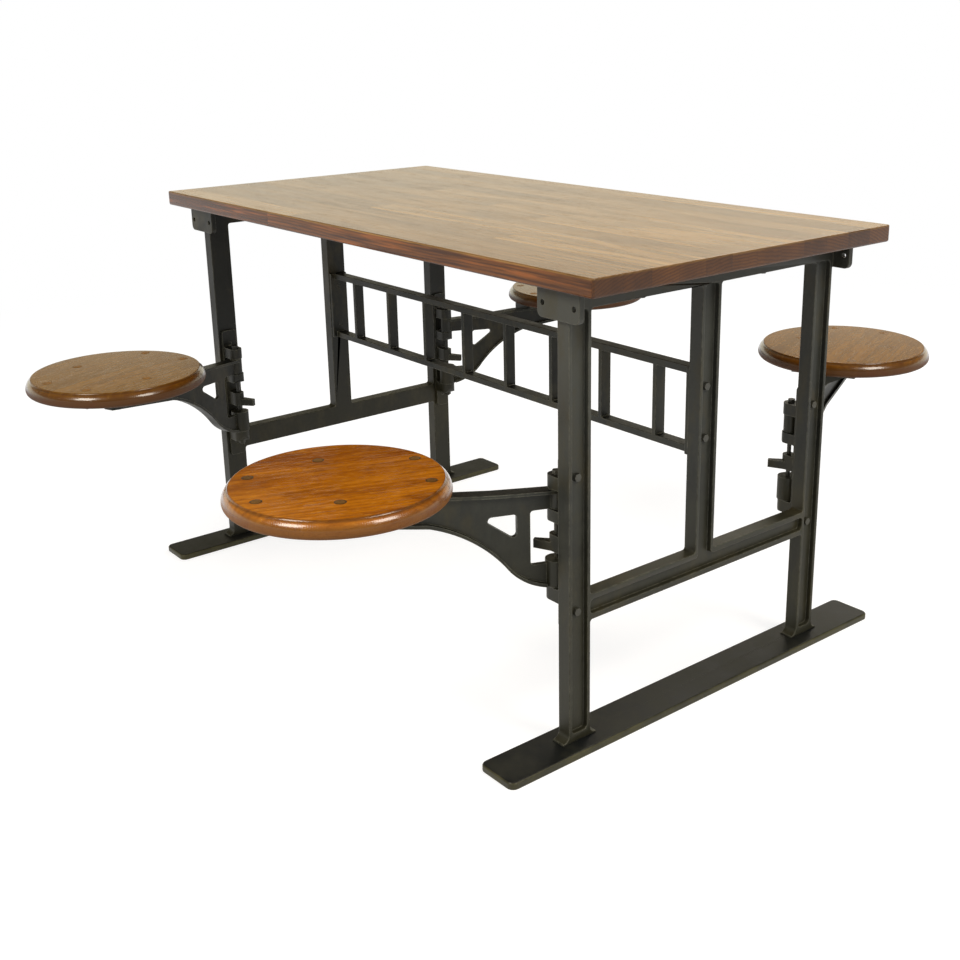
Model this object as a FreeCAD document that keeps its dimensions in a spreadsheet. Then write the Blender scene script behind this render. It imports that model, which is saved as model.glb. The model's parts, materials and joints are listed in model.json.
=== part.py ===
"""Dining table with four round seats on swing-out arms, hinged to its cast-iron end frames.

Frame: origin on the floor under the middle of the top, +X along the table, +Y across it, +Z up.
All lengths are millimetres. Every driving size is one cell of the Sizes sheet.
"""

import FreeCAD, Part
import math
import os
from types import SimpleNamespace

import Sketcher

Vector = FreeCAD.Vector
Z_AXIS = Vector(0, 0, 1)

document = FreeCAD.newDocument("SwingSeatTable")

# ---------------------------------------------------------------------------
# Driving sizes: name, millimetres (or degrees, or a count), what it sets
# ---------------------------------------------------------------------------

DRIVING_SIZES = [
    ("table_height", 762, "floor to the top's upper face"),
    ("top_length", 1300, "glued top, along X"),
    ("top_width", 662, "glued top, along Y"),
    ("top_thickness", 28, "glued top"),
    ("top_corner", 6, "corner radius of the top in plan"),
    ("top_edge", 2, "bevel along the top's upper and lower edges"),
    ("end_overhang", 97, "end of the top beyond the middle of an end frame"),
    ("side_overhang", 55.7, "side of the top beyond the middle of a leg"),
    ("frame_depth", 25.4, "end frame casting, along X"),
    ("recess_depth", 9, "channel in the frame's outer face"),
    ("frame_flange", 6, "flange left beside the channel"),
    ("leg_width", 43.2, "leg, along Y"),
    ("post_width", 42.6, "middle post, along Y"),
    ("bar_height", 36, "upper bar of the frame"),
    ("crossbar_bottom", 210.8, "floor to the crossbar"),
    ("crossbar_height", 42.9, "crossbar"),
    ("crossbar_flange", 10, "flange along the crossbar's edges"),
    ("window_fillet", 5, "corner radius of the frame's openings"),
    ("recess_fillet", 7, "corner radius of the channel"),
    ("foot_spread", 13, "foot beyond the leg, each way along Y"),
    ("foot_toe", 3, "height of the foot's toe"),
    ("foot_fillet", 12, "sweep from the leg into the foot"),
    ("sill_height", 15, "solid stretch at the bottom of a leg"),
    ("ear_width", 90, "bolting ear on a leg's head, along X"),
    ("ear_height", 49, "bolting ear"),
    ("ear_thickness", 10, "bolting ear"),
    ("ear_corner", 10, "lower corners of the ear"),
    ("ear_hole_spacing", 67, "between the two holes of an ear"),
    ("ear_hole_drop", 27, "from the ear's head to its holes"),
    ("ear_hole_radius", 4, "hole of an ear"),
    ("runner_reach", 137.7, "floor runner beyond the legs, along Y"),
    ("runner_width", 79, "floor runner, along X"),
    ("runner_thickness", 12, "floor runner"),
    ("runner_corner", 12, "corners of the runner in plan"),
    ("runner_edge", 2.5, "bevel along the runner's upper edge"),
    ("runner_screw_length", 24, "from the screw's head through the runner into the leg"),
    ("top_screw_place", 137, "middle to the screws of the upper bar"),
    ("top_screw_bite", 18, "screw in the wood of the top"),
    ("screw_radius", 3, "shank of the wood and foot screws"),
    ("screw_head_radius", 6, "head of the wood and foot screws, over its corners"),
    ("screw_head_height", 4.5, "head of the wood and foot screws"),
    ("screw_play", 0.1, "around every fastener in its hole"),
    ("ladder_bottom", 417, "floor to the stretcher"),
    ("ladder_height", 144, "stretcher, over both rails"),
    ("ladder_depth", 22, "stretcher, along Y"),
    ("rail_height", 12, "each rail of the stretcher"),
    ("upright_width", 8.5, "upright of the stretcher, along X"),
    ("upright_pitch", 130, "between uprights"),
    ("upright_count", 8, "uprights in the stretcher"),
    ("end_plate_width", 40, "plate at the stretcher's end, along Y"),
    ("end_plate_thickness", 7, "plate at the stretcher's end"),
    ("stretcher_bolt_inset", 29, "from the end plate's edge to its bolt"),
    ("bolt_radius", 4, "shank of the frame bolts"),
    ("bolt_head_radius", 7, "head of the frame bolts, over its corners"),
    ("bolt_head_height", 5, "head of the frame bolts"),
    ("hinge_offset", 28, "leg's inner face to the hinge axis"),
    ("bracket_bottom", 200, "floor to the hinge bracket"),
    ("bracket_height", 275, "hinge bracket"),
    ("bracket_width", 32, "hinge bracket's plate, along Y"),
    ("bracket_thickness", 6.3, "hinge bracket's plate"),
    ("bracket_corner", 6, "corners of the bracket's plate"),
    ("bracket_bolt_inset", 29, "from the plate's end to its bolt"),
    ("top_lug_bottom", 419, "floor to the top lug"),
    ("top_lug_height", 21, "top lug"),
    ("top_lug_radius", 13.5, "top lug"),
    ("second_lug_bottom", 367, "floor to the second lug"),
    ("second_lug_height", 19, "second lug, which carries the arm"),
    ("second_lug_radius", 14, "second lug"),
    ("middle_lug_bottom", 317, "floor to the middle lug"),
    ("middle_lug_height", 27, "middle lug"),
    ("middle_lug_radius", 11, "middle lug"),
    ("nose_reach", 36, "hinge axis to the tip of the middle lug's nose"),
    ("nose_turn", 33, "nose turned from square to the leg's face, degrees"),
    ("nose_tip_width", 8, "middle lug's nose at its tip"),
    ("nose_height", 14, "middle lug's nose"),
    ("bottom_lug_bottom", 238, "floor to the bottom lug"),
    ("bottom_lug_height", 22, "bottom lug"),
    ("bottom_lug_radius", 16, "bottom lug"),
    ("lug_bevel", 8, "curved bevel under a lug's tip, along the lug"),
    ("lug_bevel_round", 20, "radius of the curved bevels"),
    ("bottom_lug_rise", 14, "height of the bottom lug's bevel"),
    ("second_lug_rise", 10, "height of the second lug's bevel"),
    ("lug_fillet", 4, "sweep from the lugs into the plate"),
    ("rod_radius", 3.8, "hinge rod"),
    ("rod_head_radius", 6.5, "head of the hinge rod, over its corners"),
    ("rod_head_height", 6, "head of the hinge rod"),
    ("rod_tail", 9, "rod below its nut's seat"),
    ("nut_height", 6.5, "nut of the hinge rod"),
    ("nut_radius", 7.2, "nut of the hinge rod, over its corners"),
    ("running_play", 0.05, "radial play of the rod in its bores"),
    ("bearing_gap", 0.3, "between an arm's knuckles and the lugs"),
    ("rest_swing", 21.5, "arm at rest, turned inward from square, degrees"),
    ("upper_knuckle_radius", 12, "arm's upper knuckle"),
    ("lower_knuckle_radius", 18, "arm's lower knuckle"),
    ("lower_knuckle_height", 43, "arm's lower knuckle, with its bearing gap"),
    ("web_thickness", 8, "arm's web"),
    ("flange_width", 24, "arm's upper flange"),
    ("flange_thickness", 5, "arm's upper flange"),
    ("rim_width", 21, "rim along the arm's lower edge"),
    ("rim_thickness", 6, "rim along the arm's lower edge, upright"),
    ("strut_inner", 43, "hinge axis to the arm's upright strut"),
    ("strut_width", 21, "arm's upright strut"),
    ("window_floor", 298, "floor to the lower edge of the hinge window"),
    ("window_round", 5, "corners of the hinge window"),
    ("eye_length", 58, "three-cornered hole in the web, along the arm"),
    ("eye_height", 42, "three-cornered hole in the web, at the strut"),
    ("eye_top", 384, "floor to the upper edge of the hole"),
    ("eye_round", 6, "corners of the hole"),
    ("arch_foot_reach", 85, "hinge axis to the foot of the arm's arch"),
    ("arch_foot_level", 304, "floor to the foot of the arch"),
    ("arch_head_reach", 200, "hinge axis to the head of the arch"),
    ("arch_head_level", 381, "floor to the head of the arch"),
    ("heel_radius", 105, "curve from the lower knuckle to the arch's foot"),
    ("arch_radius", 233, "curve from the arch's foot to its head"),
    ("spine_reach", 358, "hinge axis to the end of the arm's spine"),
    ("spine_level", 403, "floor to the underside of the spine's end"),
    ("flange_root_level", 416, "floor to the flange at the hinge"),
    ("flange_bend_reach", 100, "hinge axis to the flange's lower bend"),
    ("flange_bend_level", 421, "floor to the flange's lower bend"),
    ("flange_head_reach", 170, "hinge axis to the flange's level stretch"),
    ("flange_level", 427, "floor to the flange's level stretch"),
    ("seat_reach", 329, "hinge axis to the seat's centre"),
    ("seat_radius", 163, "seat"),
    ("seat_top", 472, "floor to the seat's upper face"),
    ("seat_thickness", 27, "seat"),
    ("seat_lip", 7, "rim of the seat outside its flat top"),
    ("seat_lip_drop", 0.8, "step from the flat top to the rim"),
    ("seat_edge_drop", 11, "from the flat top to the foot of the rim's upper curve"),
    ("seat_lower_curve", 8, "radius under the seat's edge"),
    ("riser_reach", 188, "hinge axis to the riser"),
    ("riser_width", 27, "riser, along the arm"),
    ("prong_width", 22, "prong's end under a seat screw, along the arm"),
    ("prong_overhang", 10, "prong beyond its seat screw, across the arm"),
    ("prong_thickness", 4.5, "prong's end"),
    ("prong_root_width", 36, "prong's root on the spine, along the arm"),
    ("hub_radius", 19, "hub at the end of the spine"),
    ("inner_pad_back", 125, "seat's centre to the inner pads, along the arm"),
    ("inner_pad_side", 50, "inner pads, across the arm"),
    ("middle_pad_ahead", 12, "seat's centre to the middle pads, along the arm"),
    ("middle_pad_side", 90, "middle pads, across the arm"),
    ("outer_pad_ahead", 120, "seat's centre to the outer pads, along the arm"),
    ("outer_pad_side", 50, "outer pads, across the arm"),
    ("plug_radius", 8, "wooden plug over a seat screw"),
    ("plug_thickness", 6, "wooden plug over a seat screw"),
]


class Size:
    """A size that carries its number and the sheet formula that gives it."""

    def __init__(self, number, formula):
        self.number = number
        self.formula = formula

    def joined(self, sign, other, number):
        return Size(number, f"({self.formula} {sign} {as_size(other).formula})")

    def __add__(self, other):
        return self.joined("+", other, self.number + as_size(other).number)

    def __radd__(self, other):
        return as_size(other) + self

    def __sub__(self, other):
        return self.joined("-", other, self.number - as_size(other).number)

    def __rsub__(self, other):
        return as_size(other) - self

    def __mul__(self, factor):
        return self.joined("*", factor, self.number * as_size(factor).number)

    def __rmul__(self, factor):
        return as_size(factor) * self

    def __truediv__(self, divisor):
        return self.joined("/", divisor, self.number / as_size(divisor).number)

    def __neg__(self):
        return 0 - self


def as_size(value):
    """Give a plain number the form of a Size."""
    return value if isinstance(value, Size) else Size(float(value), f"({float(value)})")


def sine(angle):
    """Sine of an angle in degrees, bound to the sheet."""
    return Size(math.sin(math.radians(angle.number)), f"sin({angle.formula} * 1 deg)")


def cosine(angle):
    """Cosine of an angle in degrees, bound to the sheet."""
    return Size(math.cos(math.radians(angle.number)), f"cos({angle.formula} * 1 deg)")


def fill_sheet():
    """Write the driving sizes into the sheet and return them as Sizes by name."""
    sheet = document.addObject("Spreadsheet::Sheet", "Sizes")
    sizes = SimpleNamespace()
    for row, (name, value, meaning) in enumerate(DRIVING_SIZES, start=1):
        sheet.set(f"A{row}", name)
        sheet.set(f"B{row}", str(value))
        sheet.setAlias(f"B{row}", name)
        sheet.set(f"C{row}", meaning)
        setattr(sizes, name, Size(float(value), f"Sizes.{name}"))
    document.recompute()
    return sizes


s = fill_sheet()

# ---------------------------------------------------------------------------
# Places worked out from the driving sizes
# ---------------------------------------------------------------------------

top_underside = s.table_height - s.top_thickness
frame_centre = s.top_length / 2 - s.end_overhang
leg_centre = s.top_width / 2 - s.side_overhang
leg_inner_side = leg_centre - s.leg_width / 2
leg_outer_side = leg_centre + s.leg_width / 2
crossbar_top = s.crossbar_bottom + s.crossbar_height
bar_underside = top_underside - s.bar_height
frame_inner_face = frame_centre - s.frame_depth / 2
channel_floor = s.frame_depth / 2 - s.recess_depth
web_middle = -s.recess_depth / 2
screw_line = frame_centre + web_middle
hinge_x = frame_inner_face - s.hinge_offset
ladder_top = s.ladder_bottom + s.ladder_height
stretcher_bolt_levels = [
    s.ladder_bottom + s.stretcher_bolt_inset,
    ladder_top - s.stretcher_bolt_inset,
]
bracket_bolt_levels = [
    s.bracket_bottom + s.bracket_bolt_inset,
    s.bracket_bottom + s.bracket_height - s.bracket_bolt_inset,
]
seat_underside = s.seat_top - s.seat_thickness
second_lug_top = s.second_lug_bottom + s.second_lug_height
bottom_lug_top = s.bottom_lug_bottom + s.bottom_lug_height
seat_pads = [
    (s.seat_reach - s.inner_pad_back, s.inner_pad_side),
    (s.seat_reach + s.middle_pad_ahead, s.middle_pad_side),
    (s.seat_reach + s.outer_pad_ahead, s.outer_pad_side),
]

# ---------------------------------------------------------------------------
# Small tools for bodies, sketches and features
# ---------------------------------------------------------------------------

sub_parts = []


def new_body(label):
    """Start a sub-part."""
    body = document.addObject("PartDesign::Body", label)
    body.Label = label
    sub_parts.append(body)
    return body


def place(body, x, y, turn):
    """Put a sub-part that was made about its own axis at (x, y), turned about Z."""
    x, y, turn = as_size(x), as_size(y), as_size(turn)
    rotation = FreeCAD.Rotation(Z_AXIS, turn.number)
    body.Placement = FreeCAD.Placement(Vector(x.number, y.number, 0), rotation)
    body.setExpression("Placement.Base.x", x.formula)
    body.setExpression("Placement.Base.y", y.formula)
    body.setExpression("Placement.Rotation.Angle", turn.formula)


def origin_plane(body, role):
    """Return one of the body's own origin planes."""
    return next(item for item in body.Origin.OriginFeatures if item.Role == role)


def new_sketch(body, name, plane, offset=0):
    """Start a sketch on an XY, XZ or YZ plane of the body; offset runs along +Z, +Y or +X."""
    sketch = body.newObject("Sketcher::SketchObject", f"{body.Name}_{name}")
    sketch.AttachmentSupport = [(origin_plane(body, f"{plane}_Plane"), "")]
    sketch.MapMode = "FlatFace"
    along_normal = -as_size(offset) if plane == "XZ" else as_size(offset)
    sketch.setExpression("AttachmentOffset.Base.z", along_normal.formula)
    return sketch


def hold(sketch, kind, places, size):
    """Add a constraint whose value follows a size."""
    size = as_size(size)
    number = sketch.addConstraint(Sketcher.Constraint(kind, *places, size.number))
    sketch.setExpression(f"Constraints[{number}]", size.formula)


def arc_middle(start, end, radius):
    """Return the middle of the arc from start to end: right of the way for a positive radius."""
    way = end - start
    half = way.Length / 2
    sagitta = abs(radius) - math.sqrt(max(radius * radius - half * half, 0))
    right = Vector(way.y, -way.x, 0).normalize()
    return (start + end) / 2 + right * math.copysign(sagitta, radius)


def add_loop(sketch, corners):
    """Draw a closed outline. A corner's third value is the radius of the arc that follows it."""
    first = sketch.GeometryCount
    points = [Vector(as_size(corner[0]).number, as_size(corner[1]).number) for corner in corners]
    ends = points[1:] + points[:1]
    starts = []
    for index, (corner, start, end) in enumerate(zip(corners, points, ends)):
        radius = as_size(corner[2]).number if len(corner) == 3 else 0
        if radius == 0:
            curve = Part.LineSegment(start, end)
        elif radius > 0:
            curve = Part.Arc(start, arc_middle(start, end, radius), end)
        else:
            curve = Part.Arc(end, arc_middle(start, end, radius), start)
        sketch.addGeometry(curve, False)
        starts.append(2 if radius < 0 else 1)
    for index, corner in enumerate(corners):
        after = (index + 1) % len(corners)
        joint = (first + index, 3 - starts[index], first + after, starts[after])
        sketch.addConstraint(Sketcher.Constraint("Coincident", *joint))
        hold(sketch, "DistanceX", (-1, 1, first + index, starts[index]), corner[0])
        hold(sketch, "DistanceY", (-1, 1, first + index, starts[index]), corner[1])
        if len(corner) == 3:
            radius = as_size(corner[2])
            hold(sketch, "Radius", (first + index,), radius if radius.number > 0 else -radius)


def add_rectangle(sketch, left, low, right, high):
    """Draw a rectangle."""
    add_loop(sketch, [(left, low), (right, low), (right, high), (left, high)])


def add_circle(sketch, x, y, radius):
    """Draw a circle."""
    centre = Vector(as_size(x).number, as_size(y).number)
    index = sketch.addGeometry(Part.Circle(centre, Z_AXIS, as_size(radius).number), False)
    hold(sketch, "DistanceX", (-1, 1, index, 3), x)
    hold(sketch, "DistanceY", (-1, 1, index, 3), y)
    hold(sketch, "Radius", (index,), radius)


def extrude(kind, sketch, length, both, back):
    """Make a Pad or a Pocket of a sketch."""
    body = sketch.getParentGeoFeatureGroup()
    feature = body.newObject(f"PartDesign::{kind}", f"{sketch.Name}_{kind}")
    feature.Profile = sketch
    feature.Midplane = both
    feature.Reversed = back
    feature.setExpression("Length", as_size(length).formula)
    document.recompute()
    return feature


def pad(sketch, length, both=False, back=False):
    """Add material from a sketch."""
    return extrude("Pad", sketch, length, both, back)


def pocket(sketch, length, both=False, back=False):
    """Take material away, and make sure that some was taken."""
    body = sketch.getParentGeoFeatureGroup()
    before = body.Shape.Volume
    feature = extrude("Pocket", sketch, length, both, back)
    if not body.Shape.Volume < before - 1e-3:
        raise RuntimeError(f"{feature.Name} takes nothing away")
    return feature


def revolve(sketch):
    """Turn a sketch once about the body's own Z axis."""
    body = sketch.getParentGeoFeatureGroup()
    feature = body.newObject("PartDesign::Revolution", f"{sketch.Name}_Revolution")
    feature.Profile = sketch
    feature.ReferenceAxis = (sketch, ["V_Axis"])
    feature.Angle = 360
    document.recompute()
    return feature


def loft(first, last):
    """Join two sketches by a straight-sided body."""
    body = first.getParentGeoFeatureGroup()
    feature = body.newObject("PartDesign::AdditiveLoft", f"{first.Name}_Loft")
    feature.Profile = first
    feature.Sections = [last]
    feature.Ruled = True
    document.recompute()
    return feature


def mirror(features, plane):
    """Repeat features on the other side of an origin plane."""
    body = features[0].getParentGeoFeatureGroup()
    feature = body.newObject("PartDesign::Mirrored", f"{features[0].Name}_Mirrored")
    feature.Originals = features
    feature.MirrorPlane = (origin_plane(body, f"{plane}_Plane"), [""])
    body.Tip = feature
    document.recompute()
    return feature


def row_of(features, sketch_axis, pitch, count):
    """Repeat features along X at a pitch."""
    body = features[0].getParentGeoFeatureGroup()
    feature = body.newObject("PartDesign::LinearPattern", f"{features[0].Name}_Row")
    feature.Originals = features
    feature.Direction = sketch_axis
    feature.Mode = "Spacing"
    feature.setExpression("Offset", as_size(pitch).formula)
    feature.setExpression("Occurrences", as_size(count).formula)
    body.Tip = feature
    document.recompute()
    return feature


def straight_edges(body, direction, places):
    """Name the straight edges along direction whose other two coordinates are in places."""
    axis = "XYZ".index(direction)
    wanted = [[as_size(value).number for value in place] for place in places]
    names = []
    for number, edge in enumerate(body.Shape.Edges, start=1):
        if not isinstance(edge.Curve, Part.Line):
            continue
        if abs(edge.Vertexes[0].Point[axis] - edge.Vertexes[-1].Point[axis]) < edge.Length - 1e-6:
            continue
        middle = list(edge.CenterOfMass)
        del middle[axis]
        if any(math.dist(middle, place) < 1e-3 for place in wanted):
            names.append(f"Edge{number}")
    return names


def level_edges(body, *levels):
    """Name all edges that lie at one of the heights."""
    names = []
    for number, edge in enumerate(body.Shape.Edges, start=1):
        low, high = edge.BoundBox.ZMin, edge.BoundBox.ZMax
        for level in levels:
            height = as_size(level).number
            if abs(low - height) < 1e-4 and abs(high - height) < 1e-4:
                names.append(f"Edge{number}")
    return names


def dress_edges(kind, size_name, body, names, size, name):
    """Round or bevel named edges of the body as it stands."""
    if not names:
        raise RuntimeError(f"{body.Label}: no edges for {name}")
    base = body.Tip
    feature = body.newObject(f"PartDesign::{kind}", f"{body.Name}_{name}")
    feature.Base = (base, names)
    feature.setExpression(size_name, as_size(size).formula)
    document.recompute()
    return feature


def fillet(body, names, radius, name):
    """Round named edges."""
    return dress_edges("Fillet", "Radius", body, names, radius, name)


def chamfer(body, names, size, name):
    """Bevel named edges."""
    return dress_edges("Chamfer", "Size", body, names, size, name)


def both_ways(*values):
    """Return each value and its negative."""
    return [sign * value for value in values for sign in (-1, 1)]


# ---------------------------------------------------------------------------
# Wooden top
# ---------------------------------------------------------------------------


def make_table_top():
    """A glued slab with rounded corners and eased edges."""
    body = new_body("table_top")
    outline = new_sketch(body, "outline", "XY", top_underside)
    half_length = s.top_length / 2
    half_width = s.top_width / 2
    add_rectangle(outline, -half_length, -half_width, half_length, half_width)
    pad(outline, s.top_thickness)
    corners = [(x, y) for x in both_ways(half_length) for y in both_ways(half_width)]
    fillet(body, straight_edges(body, "Z", corners), s.top_corner, "corners")
    chamfer(body, level_edges(body, s.table_height, top_underside), s.top_edge, "edges")
    holes = new_sketch(body, "screw_holes", "XY", top_underside)
    for x in both_ways(screw_line):
        for y in both_ways(s.top_screw_place):
            add_circle(holes, x, y, s.screw_radius + s.screw_play)
    pocket(holes, s.top_screw_bite + s.screw_play, back=True)


# ---------------------------------------------------------------------------
# End frames: channel castings, open outward
# ---------------------------------------------------------------------------


def frame_outline(sketch):
    """Draw both legs, the upper bar and the crossbar as one outline with a foot on each leg."""
    inner_toe = leg_inner_side - s.foot_spread
    outer_toe = leg_outer_side + s.foot_spread
    toe_top = s.runner_thickness + s.foot_toe
    right_foot = [
        (inner_toe, toe_top),
        (inner_toe, s.runner_thickness),
        (outer_toe, s.runner_thickness),
        (outer_toe, toe_top),
        (leg_outer_side, toe_top),
        (leg_outer_side, top_underside),
    ]
    left_half = [(-y, z) for y, z in reversed(right_foot)]
    add_loop(
        sketch,
        right_foot
        + left_half
        + [
            (-leg_inner_side, toe_top),
            (-leg_inner_side, s.crossbar_bottom),
            (leg_inner_side, s.crossbar_bottom),
            (leg_inner_side, toe_top),
        ],
    )


def channel_outline(sketch):
    """Draw the channel in both legs, crossbar and post, and return its corners."""
    outside = leg_outer_side - s.frame_flange
    inside = leg_inner_side + s.frame_flange
    sill_top = s.runner_thickness + s.sill_height
    right_leg = [
        (inside, sill_top),
        (outside, sill_top),
        (outside, bar_underside),
        (inside, bar_underside),
    ]
    left_leg = [(-y, z) for y, z in reversed(right_leg)]
    near = s.post_width / 2 - s.frame_flange
    under = s.crossbar_bottom + s.crossbar_flange
    over = crossbar_top - s.crossbar_flange
    post_and_crossbar = [
        (-leg_inner_side, under),
        (leg_inner_side, under),
        (leg_inner_side, over),
        (near, over),
        (near, bar_underside),
        (-near, bar_underside),
        (-near, over),
        (-leg_inner_side, over),
    ]
    for corners in (right_leg, left_leg, post_and_crossbar):
        add_loop(sketch, corners)
    return right_leg + left_leg + post_and_crossbar


def make_end_frame(label, side):
    """One casting: two legs, middle post, upper bar, crossbar, feet and bolting ears."""
    body = new_body(label)
    outline = new_sketch(body, "outline", "YZ")
    frame_outline(outline)
    pad(outline, s.frame_depth, both=True)
    windows = new_sketch(body, "windows", "YZ")
    post_side = s.post_width / 2
    add_rectangle(windows, post_side, crossbar_top, leg_inner_side, bar_underside)
    add_rectangle(windows, -leg_inner_side, crossbar_top, -post_side, bar_underside)
    pocket(windows, s.frame_depth, both=True)
    window_corners = [
        (y, z)
        for y in both_ways(post_side, leg_inner_side)
        for z in (crossbar_top, bar_underside)
    ]
    window_corners += [(y, s.crossbar_bottom) for y in both_ways(leg_inner_side)]
    fillet(body, straight_edges(body, "X", window_corners), s.window_fillet, "window_fillets")
    feet = [
        (y, s.runner_thickness + s.foot_toe) for y in both_ways(leg_inner_side, leg_outer_side)
    ]
    fillet(body, straight_edges(body, "X", feet), s.foot_fillet, "foot_fillets")
    channel = new_sketch(body, "channel", "YZ", s.frame_depth / 2)
    channel_corners = channel_outline(channel)
    pocket(channel, s.recess_depth)
    fillet(body, straight_edges(body, "X", channel_corners), s.recess_fillet, "channel_fillets")

    ear = new_sketch(body, "ear", "XZ", leg_outer_side)
    ear_foot = top_underside - s.ear_height
    add_rectangle(ear, -s.ear_width / 2, ear_foot, s.ear_width / 2, top_underside)
    ear_pad = pad(ear, s.ear_thickness, back=True)
    mirror([ear_pad], "XZ")
    ear_middle = leg_outer_side - s.ear_thickness / 2
    ear_corners = [(x, ear_foot) for x in both_ways(s.ear_width / 2)]
    ear_corners = straight_edges(body, "Y", ear_corners)
    fillet(body, ear_corners, s.ear_corner, "ear_corners")
    ear_holes = new_sketch(body, "ear_holes", "XZ")
    for x in both_ways(s.ear_hole_spacing / 2):
        add_circle(ear_holes, x, top_underside - s.ear_hole_drop, s.ear_hole_radius)
    pocket(ear_holes, leg_outer_side * 2 + s.frame_depth, both=True)

    bolt_holes = new_sketch(body, "bolt_holes", "YZ")
    hole = s.bolt_radius + s.screw_play
    for z in bracket_bolt_levels:
        for y in both_ways(leg_centre):
            add_circle(bolt_holes, y, z, hole)
    for z in stretcher_bolt_levels:
        add_circle(bolt_holes, 0, z, hole)
    pocket(bolt_holes, s.frame_depth, both=True)
    foot_holes = new_sketch(body, "foot_holes", "XY", s.runner_thickness)
    for y in both_ways(leg_centre):
        add_circle(foot_holes, web_middle, y, s.screw_radius + s.screw_play)
    pocket(foot_holes, s.screw_head_height + s.runner_screw_length - s.runner_thickness, back=True)
    bar_holes = new_sketch(body, "bar_holes", "XY", top_underside)
    for y in both_ways(s.top_screw_place):
        add_circle(bar_holes, web_middle, y, s.screw_radius + s.screw_play)
    pocket(bar_holes, s.bar_height)
    place(body, side * frame_centre, 0, 90 - side * 90)


# ---------------------------------------------------------------------------
# Floor runners
# ---------------------------------------------------------------------------


def make_foot_runner(label, side):
    """A flat bar under both legs of an end frame."""
    body = new_body(label)
    outline = new_sketch(body, "outline", "XY")
    half_width = s.runner_width / 2
    half_length = leg_outer_side + s.runner_reach
    add_rectangle(outline, -half_width, -half_length, half_width, half_length)
    pad(outline, s.runner_thickness)
    corners = [(x, y) for x in both_ways(half_width) for y in both_ways(half_length)]
    fillet(body, straight_edges(body, "Z", corners), s.runner_corner, "corners")
    chamfer(body, level_edges(body, s.runner_thickness), s.runner_edge, "edges")
    holes = new_sketch(body, "screw_holes", "XY")
    heads = new_sketch(body, "head_holes", "XY")
    for y in both_ways(leg_centre):
        add_circle(holes, web_middle, y, s.screw_radius + s.screw_play)
        add_circle(heads, web_middle, y, s.screw_head_radius + s.screw_play)
    pocket(holes, s.runner_thickness, back=True)
    pocket(heads, s.screw_head_height + s.screw_play, back=True)
    place(body, side * frame_centre, 0, 90 - side * 90)


# ---------------------------------------------------------------------------
# Ladder stretcher between the middle posts
# ---------------------------------------------------------------------------


def make_ladder_stretcher():
    """Two rails, a row of uprights, and a bolting plate at each end."""
    body = new_body("ladder_stretcher")
    half_length = frame_inner_face
    rails = new_sketch(body, "rails", "XZ")
    lower_rail_top = s.ladder_bottom + s.rail_height
    upper_rail_bottom = ladder_top - s.rail_height
    add_rectangle(rails, -half_length, s.ladder_bottom, half_length, lower_rail_top)
    add_rectangle(rails, -half_length, upper_rail_bottom, half_length, ladder_top)
    pad(rails, s.ladder_depth, both=True)
    row_start = -s.upright_pitch * (s.upright_count - 1) / 2
    upright = new_sketch(body, "upright", "XZ")
    half_upright = s.upright_width / 2
    add_rectangle(
        upright,
        row_start - half_upright,
        lower_rail_top,
        row_start + half_upright,
        upper_rail_bottom,
    )
    upright_pad = pad(upright, s.ladder_depth, both=True)
    row_of([upright_pad], (upright, ["H_Axis"]), s.upright_pitch, s.upright_count)
    end_plate = new_sketch(body, "end_plate", "YZ", half_length)
    half_plate = s.end_plate_width / 2
    add_rectangle(end_plate, -half_plate, s.ladder_bottom, half_plate, ladder_top)
    end_pad = pad(end_plate, s.end_plate_thickness, back=True)
    mirror([end_pad], "YZ")
    holes = new_sketch(body, "bolt_holes", "YZ", half_length)
    for z in stretcher_bolt_levels:
        add_circle(holes, 0, z, s.bolt_radius + s.screw_play)
    end_holes = pocket(holes, s.end_plate_thickness)
    mirror([end_holes], "YZ")


# ---------------------------------------------------------------------------
# Hinge brackets, rods and their nuts
# ---------------------------------------------------------------------------


def add_lug(body, name, bottom, height, radius):
    """A round-ended lug from the bracket's plate to the hinge axis."""
    outline = new_sketch(body, name, "XY", bottom)
    add_loop(
        outline,
        [
            (s.hinge_offset, radius),
            (0, radius, radius),
            (-radius, 0, radius),
            (0, -radius),
            (s.hinge_offset, -radius),
        ],
    )
    return pad(outline, height)


def bevel_lug(body, name, bottom, radius, rise):
    """Take a curved bevel off the underside of a lug's tip."""
    bevel = new_sketch(body, name, "XZ")
    add_loop(
        bevel,
        [
            (-radius, bottom),
            (-radius + s.lug_bevel, bottom, -s.lug_bevel_round),
            (-radius, bottom + rise),
        ],
    )
    pocket(bevel, s.bracket_width, both=True)


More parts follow.
